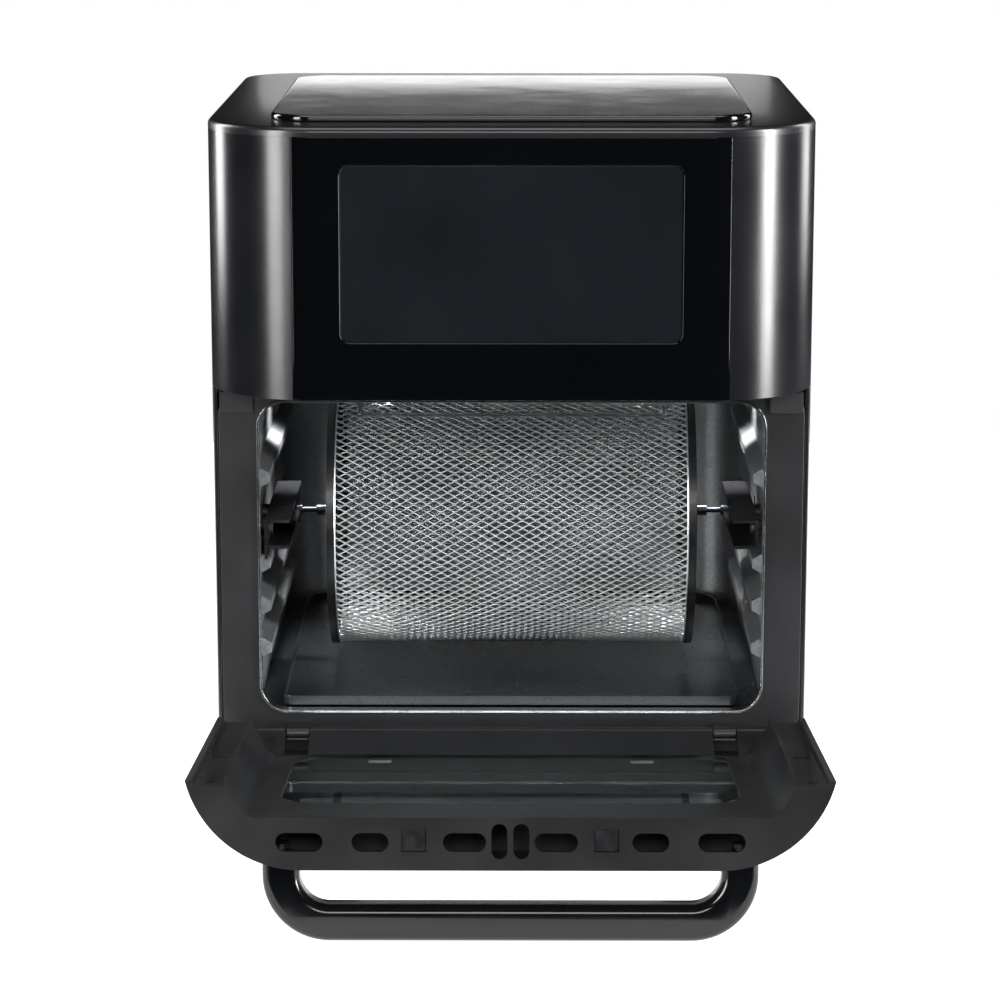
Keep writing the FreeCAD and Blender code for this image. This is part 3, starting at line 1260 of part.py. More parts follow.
hingeBlocks = []
hingePins = []
for name, side in sides.items():
    blockX = mirrored(side, "lug_outer + knuckle_gap", "lug_outer + knuckle_gap + knuckle_long")
    eye = rod(name + "_block_eye", "X", (blockX[0], hingeY, "hinge_level"), "knuckle_long", "knuckle_radius")
    stem = block(name + "_block_stem", blockX, (hingeY, frameFace),
                 ("hinge_level - knuckle_radius + knuckle_step", "hinge_level + knuckle_radius - knuckle_step"))
    bore = rod(name + "_block_bore", "X", (f"{blockX[0]} - 1", hingeY, "hinge_level"), "knuckle_long + 2",
               "pin_radius")
    hingeBlocks.append(cut(name + "_block", fuse(name + "_block_all", eye, stem), bore))
    pinX = mirrored(side, "lug_inner", "lug_outer + knuckle_gap + knuckle_long")
    hingePins.append(rod(name + "_pin", "X", (pinX[0], hingeY, "hinge_level"),
                         "lug_outer - lug_inner + knuckle_gap + knuckle_long", "pin_radius"))
keep(group("hinge_block_set", *hingeBlocks), "hinge_blocks")
keep(group("hinge_pin_set", *hingePins), "hinge_pins")

# check and write

doc.recompute()
faults = [thing.Name for thing in doc.Objects if {"Invalid", "Error"} & set(thing.State)]
if faults:
    raise RuntimeError("failed objects: " + ", ".join(faults))
os.makedirs("parts", exist_ok=True)
for label, piece in nodes.items():
    if piece.Shape.isNull() or not piece.Shape.isValid():
        raise RuntimeError(label + " has no valid shape")
for label, piece in nodes.items():
    piece.Shape.exportStep(f"parts/{label}.step")
    box = piece.Shape.optimalBoundingBox(True)
    print(f"{label:22s} {len(piece.Shape.Solids)} solids  x {box.XMin:.1f} {box.XMax:.1f}"
          f"  y {box.YMin:.1f} {box.YMax:.1f}  z {box.ZMin:.1f} {box.ZMax:.1f}")
print(len(nodes), "nodes")
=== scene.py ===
import json
import math
import bpy
import bmesh
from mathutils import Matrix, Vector


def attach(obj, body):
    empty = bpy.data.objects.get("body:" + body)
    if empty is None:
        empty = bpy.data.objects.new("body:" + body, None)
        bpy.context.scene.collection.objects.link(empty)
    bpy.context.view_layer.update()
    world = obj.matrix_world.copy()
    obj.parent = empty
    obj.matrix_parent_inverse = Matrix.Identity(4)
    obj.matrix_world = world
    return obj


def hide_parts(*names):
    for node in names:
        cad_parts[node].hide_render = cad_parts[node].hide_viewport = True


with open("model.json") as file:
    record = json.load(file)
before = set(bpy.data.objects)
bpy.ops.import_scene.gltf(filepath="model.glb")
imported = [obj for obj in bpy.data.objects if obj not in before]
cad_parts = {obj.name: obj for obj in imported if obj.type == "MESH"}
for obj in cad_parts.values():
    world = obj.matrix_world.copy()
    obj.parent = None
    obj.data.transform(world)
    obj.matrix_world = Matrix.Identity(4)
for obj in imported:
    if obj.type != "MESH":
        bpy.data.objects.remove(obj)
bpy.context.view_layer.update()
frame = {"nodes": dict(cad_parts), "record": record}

# Rotisserie oven with its door dropped open and the mesh basket on its spits.
# Sizes in the dictionaries are in millimetres; lights and camera are placed in metres.

mm = 0.001
nodes = frame["nodes"]
bodies = frame["record"]["behaviour"]["bodies"]
bodyOf = {node: body for body, members in bodies.items() for node in members}


def tone(hexColour):  # sRGB hex to the linear colour the shaders want
    parts = [int(hexColour[i:i + 2], 16) / 255 for i in (1, 3, 5)]
    linear = [p / 12.92 if p <= 0.04045 else ((p + 0.055) / 1.055) ** 2.4 for p in parts]
    return (*linear, 1.0)


def addNode(tree, kind, settings=None, inputs=None):  # a node, its settings, and its sockets filled or linked
    node = tree.nodes.new(kind)
    for name, value in (settings or {}).items():
        setattr(node, name, value)
    for name, value in (inputs or {}).items():
        if isinstance(value, bpy.types.Node):
            value = value.outputs[0]
        if isinstance(value, bpy.types.NodeSocket):
            tree.links.new(value, node.inputs[name])
        else:
            node.inputs[name].default_value = value
    return node


def newMaterial(name):
    material = bpy.data.materials.new(name)
    material.use_nodes = True
    tree = material.node_tree
    tree.nodes.clear()
    place = addNode(tree, "ShaderNodeTexCoord").outputs["Object"]
    return material, tree, place


lumps = {"From Min": 0.3, "From Max": 0.7}  # a noise seldom leaves this span
# millimetres from one light patch to the next
slowChange = {"moulding": 45, "paint": 60, "metal": 9, "smear": 22, "resist": 6}

# each plastic is injection moulded: grain from the spark-eroded tool, a slow sheen change where the melt cooled.
# satin ABS shows soft bands of light, textured ABS almost none, and polished ABS mirrors what is round it.
plastics = {
    "satinAbs": {"dark": "#0f1013", "light": "#131418", "grain": 0.9, "depth": 0.004, "rough": (0.20, 0.25)},
    "texturedAbs": {"dark": "#090a0c", "light": "#0d0e10", "grain": 1.1, "depth": 0.010, "rough": (0.40, 0.50)},
    "frameAbs": {"dark": "#0b0c0e", "light": "#101114", "grain": 1.1, "depth": 0.010, "rough": (0.44, 0.54)},
    "glossAbs": {"dark": "#050608", "light": "#08090b", "grain": 14.0, "depth": 0.020, "rough": (0.12, 0.18)},
    "pianoAbs": {"dark": "#040506", "light": "#050608", "grain": 30.0, "depth": 0.020, "rough": (0.03, 0.06)},
    "siliconeRubber": {"dark": "#101112", "light": "#18191b", "grain": 1.6, "depth": 0.040, "rough": (0.68, 0.82)},
}


def mouldedPlastic(name, recipe):
    material, tree, place = newMaterial(name)
    grain = addNode(tree, "ShaderNodeTexNoise", inputs={"Vector": place, "Scale": 1 / (recipe["grain"] * mm)})
    cooling = addNode(tree, "ShaderNodeTexNoise", inputs={
        "Vector": place, "Scale": 1 / (slowChange["moulding"] * mm)})
    amount = addNode(tree, "ShaderNodeMapRange", inputs={**lumps, "Value": cooling})
    colour = addNode(tree, "ShaderNodeMix", {"data_type": "RGBA"}, {
        0: amount, 6: tone(recipe["dark"]), 7: tone(recipe["light"])})
    sheen = addNode(tree, "ShaderNodeMapRange", inputs={
        **lumps, "Value": cooling, "To Min": recipe["rough"][0], "To Max": recipe["rough"][1]})
    relief = addNode(tree, "ShaderNodeBump", inputs={"Height": grain, "Distance": recipe["depth"] * mm})
    surface = addNode(tree, "ShaderNodeBsdfPrincipled", inputs={
        "Base Color": colour.outputs[2], "Roughness": sheen, "Normal": relief, "IOR": 1.50})
    addNode(tree, "ShaderNodeOutputMaterial", inputs={"Surface": surface})
    return material


satinAbs, texturedAbs, frameAbs, glossAbs, pianoAbs, siliconeRubber = (
    mouldedPlastic(name, recipe) for name, recipe in plastics.items())

# paint and enamel are baked on sheet and level into a faint orange peel, so edge lights are soft and unbroken.
# glass enamel is fired smooth and mirrors, and the non-stick coat has a fine sprayed grain and a dull sheen.
paints = {
    "bakedPaint": {"dark": "#0e0f12", "light": "#131417", "peel": 2.6, "depth": 0.001, "rough": (0.28, 0.30),
                   "coat": 0.15},
    "glassEnamel": {"dark": "#040506", "light": "#070809", "peel": 9.0, "depth": 0.002, "rough": (0.03, 0.06),
                    "coat": 0.3},
    "blackEnamel": {"dark": "#0b0c0e", "light": "#121316", "peel": 1.8, "depth": 0.020, "rough": (0.30, 0.44),
                    "coat": 0.1},
    "nonstickCoating": {"dark": "#1a1c1f", "light": "#26292d", "peel": 0.9, "depth": 0.006, "rough": (0.26, 0.36),
                        "coat": 0.2},
}


def coatedSteel(name, recipe):
    material, tree, place = newMaterial(name)
    peel = addNode(tree, "ShaderNodeTexNoise", inputs={"Vector": place, "Scale": 1 / (recipe["peel"] * mm)})
    drift = addNode(tree, "ShaderNodeTexNoise", inputs={
        "Vector": place, "Scale": 1 / (slowChange["paint"] * mm), "Detail": 3.0})
    amount = addNode(tree, "ShaderNodeMapRange", inputs={**lumps, "Value": drift})
    colour = addNode(tree, "ShaderNodeMix", {"data_type": "RGBA"}, {
        0: amount, 6: tone(recipe["dark"]), 7: tone(recipe["light"])})
    flow = addNode(tree, "ShaderNodeTexNoise", inputs={
        "Vector": place, "Scale": 1 / (recipe["peel"] * 3 * mm), "Detail": 3.0})
    sheen = addNode(tree, "ShaderNodeMapRange", inputs={
        **lumps, "Value": flow, "To Min": recipe["rough"][0], "To Max": recipe["rough"][1]})
    relief = addNode(tree, "ShaderNodeBump", inputs={"Height": peel, "Distance": recipe["depth"] * mm})
    surface = addNode(tree, "ShaderNodeBsdfPrincipled", inputs={
        "Base Color": colour.outputs[2], "Roughness": sheen, "Normal": relief, "IOR": 1.52,
        "Coat Weight": recipe["coat"], "Coat Roughness": 0.12})
    addNode(tree, "ShaderNodeOutputMaterial", inputs={"Surface": surface})
    return material


bakedPaint, glassEnamel, blackEnamel, nonstickCoating = (
    coatedSteel(name, recipe) for name, recipe in paints.items())

# drawn wire, rolled or plated sheet: the grain runs one way, so the stretch differs per axis.
# stainless wire and trim glint white, zinc plate is milky, and heater tube and blacked steel are dull and dark.
metals = {
    "stainlessWire": {"dark": "#c4c7ca", "light": "#e6e8ea", "stretch": (1, 5, 5), "grain": 2.2, "depth": 0.002,
                      "rough": (0.30, 0.38)},
    "polishedTrim": {"dark": "#b4b7bb", "light": "#dadcde", "stretch": (1, 8, 8), "grain": 6.0, "depth": 0.006,
                     "rough": (0.16, 0.26)},
    "zincPlate": {"dark": "#8c8f92", "light": "#b6b8ba", "stretch": (1, 1, 1), "grain": 1.2, "depth": 0.015,
                  "rough": (0.28, 0.42)},
    "oxidisedHeater": {"dark": "#3b3631", "light": "#5b554d", "stretch": (1, 1, 1), "grain": 1.4, "depth": 0.030,
                       "rough": (0.45, 0.62)},
    "rolledAluminium": {"dark": "#a2a5a8", "light": "#c6c8ca", "stretch": (1, 9, 1), "grain": 4.0, "depth": 0.010,
                        "rough": (0.28, 0.42)},
    "motorIron": {"dark": "#4c4e51", "light": "#6a6c6f", "stretch": (1, 1, 1), "grain": 1.5, "depth": 0.030,
                  "rough": (0.45, 0.60)},
    "blackedSteel": {"dark": "#26282b", "light": "#3a3d41", "stretch": (6, 1, 1), "grain": 2.4, "depth": 0.012,
                     "rough": (0.26, 0.40)},
}


def bareMetal(name, recipe):
    material, tree, place = newMaterial(name)
    along = addNode(tree, "ShaderNodeMapping", inputs={"Vector": place, "Scale": recipe["stretch"]})
    grain = addNode(tree, "ShaderNodeTexNoise", inputs={
        "Vector": along, "Scale": 1 / (recipe["grain"] * mm), "Detail": 3.0})
    amount = addNode(tree, "ShaderNodeMapRange", inputs={**lumps, "Value": grain})
    colour = addNode(tree, "ShaderNodeMix", {"data_type": "RGBA"}, {
        0: amount, 6: tone(recipe["dark"]), 7: tone(recipe["light"])})
    handling = addNode(tree, "ShaderNodeTexNoise", inputs={
        "Vector": place, "Scale": 1 / (slowChange["metal"] * mm), "Detail": 3.0})
    sheen = addNode(tree, "ShaderNodeMapRange", inputs={
        **lumps, "Value": handling, "To Min": recipe["rough"][0], "To Max": recipe["rough"][1]})
    relief = addNode(tree, "ShaderNodeBump", inputs={"Height": grain, "Distance": recipe["depth"] * mm})
    surface = addNode(tree, "ShaderNodeBsdfPrincipled", inputs={
        "Base Color": colour.outputs[2], "Roughness": sheen, "Normal": relief, "Metallic": 1.0})
    addNode(tree, "ShaderNodeOutputMaterial", inputs={"Surface": surface})
    return material


(stainlessWire, polishedTrim, zincPlate, oxidisedHeater, rolledAluminium, motorIron, blackedSteel) = (
    bareMetal(name, recipe) for name, recipe in metals.items())

# aluminised steel: hot dipped, so the coating freezes in spangles, then the sheet is rolled and streaks upright
aluminisedSheet = {"spangle": 1.4, "streak": 2.0, "stretch": (1, 1, 0.04), "dark": "#a9acaf", "light": "#c3c5c7",
                   "depth": 0.004, "spangleDepth": 0.0024, "rough": (0.40, 0.48)}


def aluminised(name, recipe):
    material, tree, place = newMaterial(name)
    spangles = addNode(tree, "ShaderNodeTexVoronoi", inputs={
        "Vector": place, "Scale": 1 / (recipe["spangle"] * mm), "Randomness": 1.0}).outputs["Color"]
    facet = addNode(tree, "ShaderNodeSeparateColor", inputs={"Color": spangles})
    amount = addNode(tree, "ShaderNodeMapRange", inputs={"Value": facet, "To Min": 0.1, "To Max": 0.9})
    colour = addNode(tree, "ShaderNodeMix", {"data_type": "RGBA"}, {
        0: amount, 6: tone(recipe["dark"]), 7: tone(recipe["light"])})
    sheen = addNode(tree, "ShaderNodeMapRange", inputs={
        "Value": facet, "To Min": recipe["rough"][0], "To Max": recipe["rough"][1]})
    upright = addNode(tree, "ShaderNodeMapping", inputs={"Vector": place, "Scale": recipe["stretch"]})
    streaks = addNode(tree, "ShaderNodeTexNoise", inputs={
        "Vector": upright, "Scale": 1 / (recipe["streak"] * mm), "Detail": 3.0})
    frozen = addNode(tree, "ShaderNodeBump", inputs={"Height": facet, "Distance": recipe["spangleDepth"] * mm})
    rolled = addNode(tree, "ShaderNodeBump", inputs={
        "Height": streaks, "Distance": recipe["depth"] * mm, "Normal": frozen})
    surface = addNode(tree, "ShaderNodeBsdfPrincipled", inputs={
        "Base Color": colour.outputs[2], "Roughness": sheen, "Normal": rolled, "Metallic": 1.0})
    addNode(tree, "ShaderNodeOutputMaterial", inputs={"Surface": surface})
    return material


aluminisedSteel = aluminised("aluminisedSteel", aluminisedSheet)

# tempered soda-lime glass: clear straight on, mirror-like at a low angle, with faint roller waves
windowGlass = {"tint": "#fafdfc", "mirror": "#f4f7f8", "wave": 70, "depth": 0.02, "facing": 1.45,
               "smear": (0.02, 0.05)}


def temperedGlass(name, recipe):
    material, tree, place = newMaterial(name)
    rollers = addNode(tree, "ShaderNodeTexNoise", inputs={
        "Vector": place, "Scale": 1 / (recipe["wave"] * mm), "Detail": 1.0})
    wave = addNode(tree, "ShaderNodeBump", inputs={"Height": rollers, "Distance": recipe["depth"] * mm})
    wiping = addNode(tree, "ShaderNodeTexNoise", inputs={
        "Vector": place, "Scale": 1 / (slowChange["smear"] * mm), "Detail": 4.0})
    smear = addNode(tree, "ShaderNodeMapRange", inputs={
        **lumps, "Value": wiping, "To Min": recipe["smear"][0], "To Max": recipe["smear"][1]})
    clear = addNode(tree, "ShaderNodeBsdfTransparent", inputs={"Color": tone(recipe["tint"])})
    gloss = addNode(tree, "ShaderNodeBsdfGlossy", inputs={
        "Color": tone(recipe["mirror"]), "Roughness": smear, "Normal": wave})
    facing = addNode(tree, "ShaderNodeFresnel", inputs={"IOR": recipe["facing"], "Normal": wave})
    leaving = addNode(tree, "ShaderNodeNewGeometry").outputs["Backfacing"]
    edge = addNode(tree, "ShaderNodeMapRange", inputs={  # a ray leaving the pane goes straight out
        "Value": leaving, "To Min": facing, "To Max": 0.0})
    both = addNode(tree, "ShaderNodeMixShader", inputs={0: edge, 1: clear, 2: gloss})
    addNode(tree, "ShaderNodeOutputMaterial", inputs={"Surface": both})
    return material


doorGlass = temperedGlass("temperedGlass", windowGlass)

# smoked acrylic over the touch panel: a shade lighter than the gloss round it
smokedAcrylic = mouldedPlastic("smokedAcrylic", {
    "dark": "#121417", "light": "#15181b", "grain": 26.0, "depth": 0.012, "rough": (0.05, 0.09)})

boardSheet = {"resist": "#12402a", "lit": "#164a31", "track": "#2b7a4a", "grid": 10, "line": 0.03, "depth": 0.04,
              "rough": (0.3, 0.45)}


def laminate(name, recipe):  # glass-epoxy board: green resist over copper tracks on a 2.5 mm grid
    material, tree, place = newMaterial(name)
    tracks = addNode(tree, "ShaderNodeTexBrick", {"offset": 0.5}, {
        "Vector": place, "Scale": 1 / (recipe["grid"] * mm), "Mortar Size": recipe["line"], "Brick Width": 0.5,
        "Row Height": 0.25, "Color1": tone(recipe["resist"]), "Color2": tone(recipe["lit"]),
        "Mortar": tone(recipe["track"])})
    flow = addNode(tree, "ShaderNodeTexNoise", inputs={
        "Vector": place, "Scale": 1 / (slowChange["resist"] * mm), "Detail": 3.0})
    sheen = addNode(tree, "ShaderNodeMapRange", inputs={
        **lumps, "Value": flow, "To Min": recipe["rough"][0], "To Max": recipe["rough"][1]})
    relief = addNode(tree, "ShaderNodeBump", inputs={
        "Height": tracks.outputs["Fac"], "Distance": recipe["depth"] * mm})
    surface = addNode(tree, "ShaderNodeBsdfPrincipled", inputs={
        "Base Color": tracks.outputs["Color"], "Roughness": sheen, "Normal": relief})
    addNode(tree, "ShaderNodeOutputMaterial", inputs={"Surface": surface})
    return material


circuitBoard = laminate("circuitLaminate", boardSheet)
print("materials made")

# sizes in millimetres, angles in degrees
easing = {"weld": 0.004, "flat": 0.5, "crease": 34, "wireCrease": 40, "segments": 2, "weight": 80}


def formed(node, material, edge):  # a CAD shape with its moulded and folded edges eased
    source = bmesh.new()
    source.from_mesh(nodes[node].data)
    bmesh.ops.remove_doubles(source, verts=source.verts, dist=easing["weld"] * mm)
    bmesh.ops.dissolve_limit(source, angle_limit=math.radians(easing["flat"]), verts=source.verts,
                             edges=source.edges)
    source.verts.index_update()
    points = [v.co[:] for v in source.verts]
    faces = [[v.index for v in f.verts] for f in source.faces]
    source.free()
    mesh = bpy.data.meshes.new(node + "_form")
    mesh.from_pydata(points, [], faces)
    mesh.polygons.foreach_set("use_smooth", [True] * len(mesh.polygons))
    mesh.materials.append(material)
    piece = bpy.data.objects.new(node + "_form", mesh)
    bpy.context.scene.collection.objects.link(piece)
    if edge:
        bevel = piece.modifiers.new("edge", "BEVEL")
        bevel.width = edge * mm
        bevel.segments = easing["segments"]
        bevel.limit_method = "ANGLE"
        bevel.angle_limit = math.radians(easing["crease"])
        bevel.use_clamp_overlap = True
        weighted = piece.modifiers.new("shading", "WEIGHTED_NORMAL")
        weighted.weight = easing["weight"]
    else:
        mesh.set_sharp_from_angle(angle=math.radians(easing["crease"]))
    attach(piece, bodyOf[node])
    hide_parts(node)


# how far each edge is eased, in millimetres, and the finish it gets
formedPieces = {
    "front_housing": (satinAbs, 0.6), "control_panel": (pianoAbs, 0.35), "display_lens": (smokedAcrylic, 0.15),
    "top_cover": (bakedPaint, 0.0), "side_panel_left": (bakedPaint, 0.7), "side_panel_right": (bakedPaint, 0.7),
    "rear_panel": (bakedPaint, 0.2), "base_pan": (bakedPaint, 0.3),
    "opening_frame": (frameAbs, 0.6), "opening_trim": (polishedTrim, 0.15),
    "cavity_side_left": (aluminisedSteel, 0.4), "cavity_side_right": (aluminisedSteel, 0.4),
    "cavity_back": (aluminisedSteel, 0.0), "cavity_ceiling": (aluminisedSteel, 0.0),
    "cavity_floor": (nonstickCoating, 0.2), "fan_guard": (aluminisedSteel, 0.0),
    "spit_bracket_left": (blackEnamel, 0.3), "spit_bracket_right": (blackEnamel, 0.3),
    "drip_tray": (nonstickCoating, 0.2),
    "door_shell": (texturedAbs, 0.5), "door_inner_frame": (texturedAbs, 0.45), "door_handle": (glossAbs, 0.0),
    "outer_glass": (doorGlass, 0.3), "inner_glass": (doorGlass, 0.3), "glass_clips": (zincPlate, 0.15),
    "feet": (satinAbs, 0.6), "foot_pads": (siliconeRubber, 0.4), "door_bumpers": (siliconeRubber, 0.3),
    "basket_cap_left": (blackEnamel, 0.25), "basket_cap_right": (blackEnamel, 0.25),
    "spit_left": (blackedSteel, 0.2), "spit_right": (blackedSteel, 0.2),
    "lid_hinge_wire": (stainlessWire, 0.0), "lid_latch": (stainlessWire, 0.15),
    "cord_inlet": (satinAbs, 0.4), "hinge_blocks": (blackEnamel, 0.3), "hinge_pins": (blackedSteel, 0.2),
    "magnet_catches": (satinAbs, 0.2), "door_strikes": (blackEnamel, 0.2),
}
for node, (material, edge) in formedPieces.items():
    formed(node, material, edge)
print("formed pieces:", len(formedPieces))

formed("top_island", glassEnamel, 0.9)  # a rounder rim, so its reflections run off at the edge

# parts that keep their CAD shape
keptParts = {
    "heating_element": oxidisedHeater, "circulation_fan": rolledAluminium, "cooling_fan": rolledAluminium,
    "fan_shroud": aluminisedSteel, "fan_shaft": zincPlate, "fan_motor": motorIron, "motor_bridge": zincPlate,
    "temperature_probe": stainlessWire, "power_board": circuitBoard, "touch_board": circuitBoard,
    "terminal_block": satinAbs, "rotisserie_motor": motorIron, "drive_socket": blackedSteel,
    "rear_screws": zincPlate, "foot_screws": zincPlate, "bracket_screws": zincPlate, "handle_screws": zincPlate,
}
for node, material in keptParts.items():
    for finish in nodes[node].material_slots:
        finish.material = material
print("kept parts:", len(keptParts))

# expanded metal of the basket and its lid: diamonds slit and stretched from one sheet
axis = Vector((0, -14, 158.5))  # the basket's turning axis
meshSheet = {"radius": 73.6, "half": 98.6, "pitch": 7.4, "rows": 216, "strand": 0.72, "thick": 0.95, "tilt": 28,
             "bond": 1.1, "hatchHalf": 84.2, "hatchFrom": 40.0, "hatchTo": 124.0}


# what each value in the tree comes from: an operation on inputs, on earlier values or on numbers
strandSums = {
    "halfPitch": ("DIVIDE", "Pitch", 2.0),
    "across": ("DIVIDE", "Half Length", "Pitch"),
    "steps": ("FLOOR", "across"),
    "pairs": ("MULTIPLY_ADD", "steps", 4.0, 2.0),
    "count": ("MULTIPLY", "pairs", 2.0),
    "place": ("DIVIDE", "index", 2.0),
    "pair": ("FLOOR", "place"),
    "second": ("MODULO", "index", 2.0),
    "odd": ("MODULO", "pair", 2.0),
    "side": ("MULTIPLY_ADD", "odd", -2.0, 1.0),
    "round": ("MULTIPLY", "Radius", 2 * math.pi),
    "rowStep": ("DIVIDE", "round", "Rows"),
    "room": ("SUBTRACT", "rowStep", "Strand Width"),
    "swing": ("DIVIDE", "room", 2.0),
    "bonds": ("MULTIPLY", "second", "Bond"),
    "along": ("MULTIPLY_ADD", "pair", "halfPitch", "bonds"),
    "gaps": ("SUBTRACT", "pairs", 1.0),
    "back": ("MULTIPLY", "halfPitch", -0.5),
    "x": ("MULTIPLY_ADD", "gaps", "back", "along"),
    "y": ("MULTIPLY", "side", "swing"),
    "shift": ("MULTIPLY", "second", "halfPitch"),
    "oneTurn": ("DIVIDE", 2 * math.pi, "Rows"),
    "turn": ("MULTIPLY", "index", "oneTurn"),
}
# the hatch is cut by distance along the axis and by angle, from straight back up and over to the front
trimSums = {
    "reach": ("ABSOLUTE", "spotX"),
    "angle": ("ARCTAN2", "spotZ", "spotY"),
    "within": ("LESS_THAN", "reach", "Hatch Half"),
    "after": ("GREATER_THAN", "angle", "Hatch From"),
    "before": ("LESS_THAN", "angle", "Hatch To"),
    "inArc": ("MULTIPLY", "after", "before"),
    "inHatch": ("MULTIPLY", "within", "inArc"),
    "differs": ("SUBTRACT", "inHatch", "Keep Hatch"),
    "unwanted": ("ABSOLUTE", "differs"),
    "overhang": ("GREATER_THAN", "reach", "Half Length"),
    "cut": ("MAXIMUM", "unwanted", "overhang"),
}
treeInputs = {"Radius": "Float", "Half Length": "Float", "Pitch": "Float", "Rows": "Int", "Strand Width": "Float",
              "Strand Thickness": "Float", "Tilt": "Float", "Bond": "Float", "Hatch Half": "Float",
              "Hatch From": "Float", "Hatch To": "Float", "Keep Hatch": "Bool", "Centre": "Vector",
              "Finish": "Material"}


def expandedMetal():
    tree = bpy.data.node_groups.new("expandedMetal", "GeometryNodeTree")
    for name, kind in treeInputs.items():
        tree.interface.new_socket(name, in_out="INPUT", socket_type="NodeSocket" + kind)
    tree.interface.new_socket("Geometry", in_out="OUTPUT", socket_type="NodeSocketGeometry")
    values = dict(addNode(tree, "NodeGroupInput").outputs.items())
    values["index"] = addNode(tree, "GeometryNodeInputIndex").outputs[0]
    spot = addNode(tree, "ShaderNodeSeparateXYZ", inputs={"Vector": addNode(tree, "GeometryNodeInputPosition")})
    for axisName, output in zip("XYZ", spot.outputs):
        values["spot" + axisName] = output
    for name, (operation, *terms) in {**strandSums, **trimSums}.items():
        values[name] = addNode(tree, "ShaderNodeMath", {"operation": operation}, {
            i: values.get(term, term) for i, term in enumerate(terms)}).outputs[0]
    # one strand: short bonds joined by slanting legs, with a flat section that leans
    line = addNode(tree, "GeometryNodeMeshLine", inputs={"Count": values["count"]})
    where = addNode(tree, "ShaderNodeCombineXYZ", inputs={
        "X": values["x"], "Y": values["y"], "Z": values["Radius"]})
    zigzag = addNode(tree, "GeometryNodeSetPosition", inputs={"Geometry": line, "Position": where})
    strand = addNode(tree, "GeometryNodeMeshToCurve", inputs={"Mesh": zigzag})
    upright = addNode(tree, "GeometryNodeSetCurveNormal", inputs={"Curve": strand})
    section = addNode(tree, "GeometryNodeCurvePrimitiveQuadrilateral", inputs={
        "Width": values["Strand Width"], "Height": values["Strand Thickness"]})
    lean = addNode(tree, "ShaderNodeCombineXYZ", inputs={"Z": values["Tilt"]})
    leaning = addNode(tree, "GeometryNodeTransform", inputs={"Geometry": section, "Rotation": lean})
    wire = addNode(tree, "GeometryNodeCurveToMesh", inputs={
        "Curve": upright, "Profile Curve": leaning, "Fill Caps": True})
    # the strand repeated round the drum, every other one half a diamond along
    rows = addNode(tree, "GeometryNodeMeshLine", inputs={"Count": values["Rows"]})
    shift = addNode(tree, "ShaderNodeCombineXYZ", inputs={"X": values["shift"]})
    spots = addNode(tree, "GeometryNodeSetPosition", inputs={"Geometry": rows, "Position": shift})
    turn = addNode(tree, "ShaderNodeCombineXYZ", inputs={"X": values["turn"]})
    around = addNode(tree, "GeometryNodeInstanceOnPoints", inputs={
        "Points": spots, "Instance": wire, "Rotation": turn})
    sheet = addNode(tree, "GeometryNodeRealizeInstances", inputs={"Geometry": around})
    # cut to length, and to the hatch or to what is left round it
    trimmed = addNode(tree, "GeometryNodeDeleteGeometry", {"domain": "FACE", "mode": "ALL"}, {
        "Geometry": sheet, "Selection": values["cut"]})
    moved = addNode(tree, "GeometryNodeTransform", inputs={
        "Geometry": trimmed, "Translation": values["Centre"]})
    real = addNode(tree, "GeometryNodeRealizeInstances", inputs={"Geometry": moved})
    coated = addNode(tree, "GeometryNodeSetMaterial", inputs={"Geometry": real, "Material": values["Finish"]})
    addNode(tree, "NodeGroupOutput", inputs={"Geometry": coated})
    return tree


def grown(name, tree, values):  # a tree run on an empty object, kept as a plain mesh
    holder = bpy.data.objects.new(name + "_tree", bpy.data.meshes.new(name + "_tree"))
    bpy.context.scene.collection.objects.link(holder)
    modifier = holder.modifiers.new("tree", "NODES")
    modifier.node_group = tree
    for item in tree.interface.items_tree:
        if item.item_type == "SOCKET" and item.in_out == "INPUT" and item.name in values:
            modifier[item.identifier] = values[item.name]
    bpy.context.view_layer.update()
    depsgraph = bpy.context.evaluated_depsgraph_get()
    mesh = bpy.data.meshes.new_from_object(holder.evaluated_get(depsgraph), depsgraph=depsgraph)
    mesh.name = name
    holder.modifiers.remove(modifier)
    bpy.data.objects.remove(holder)
    piece = bpy.data.objects.new(name, mesh)
    bpy.context.scene.collection.objects.link(piece)
    return piece


sheetTree = expandedMetal()
sheetValues = {
    "Radius": meshSheet["radius"] * mm, "Half Length": meshSheet["half"] * mm, "Pitch": meshSheet["pitch"] * mm,
    "Rows": meshSheet["rows"], "Strand Width": meshSheet["strand"] * mm,
    "Strand Thickness": meshSheet["thick"] * mm, "Tilt": math.radians(meshSheet["tilt"]),
    "Bond": meshSheet["bond"] * mm, "Centre": axis * mm, "Finish": stainlessWire}


def joined(name, bits, material):  # several closed bits in one mesh
    mesh = bpy.data.meshes.new(name)
    whole = bmesh.new()
    for points, faces in bits:
        corners = [whole.verts.new(p) for p in points]
        for face in faces:
            whole.faces.new([corners[i] for i in face])
    bmesh.ops.recalc_face_normals(whole, faces=whole.faces)
    for face in whole.faces:
        face.smooth = True
    whole.to_mesh(mesh)
    whole.free()
    mesh.set_sharp_from_angle(angle=math.radians(easing["wireCrease"]))
    mesh.materials.append(material)
    piece = bpy.data.objects.new(name, mesh)
    bpy.context.scene.collection.objects.link(piece)
    return piece


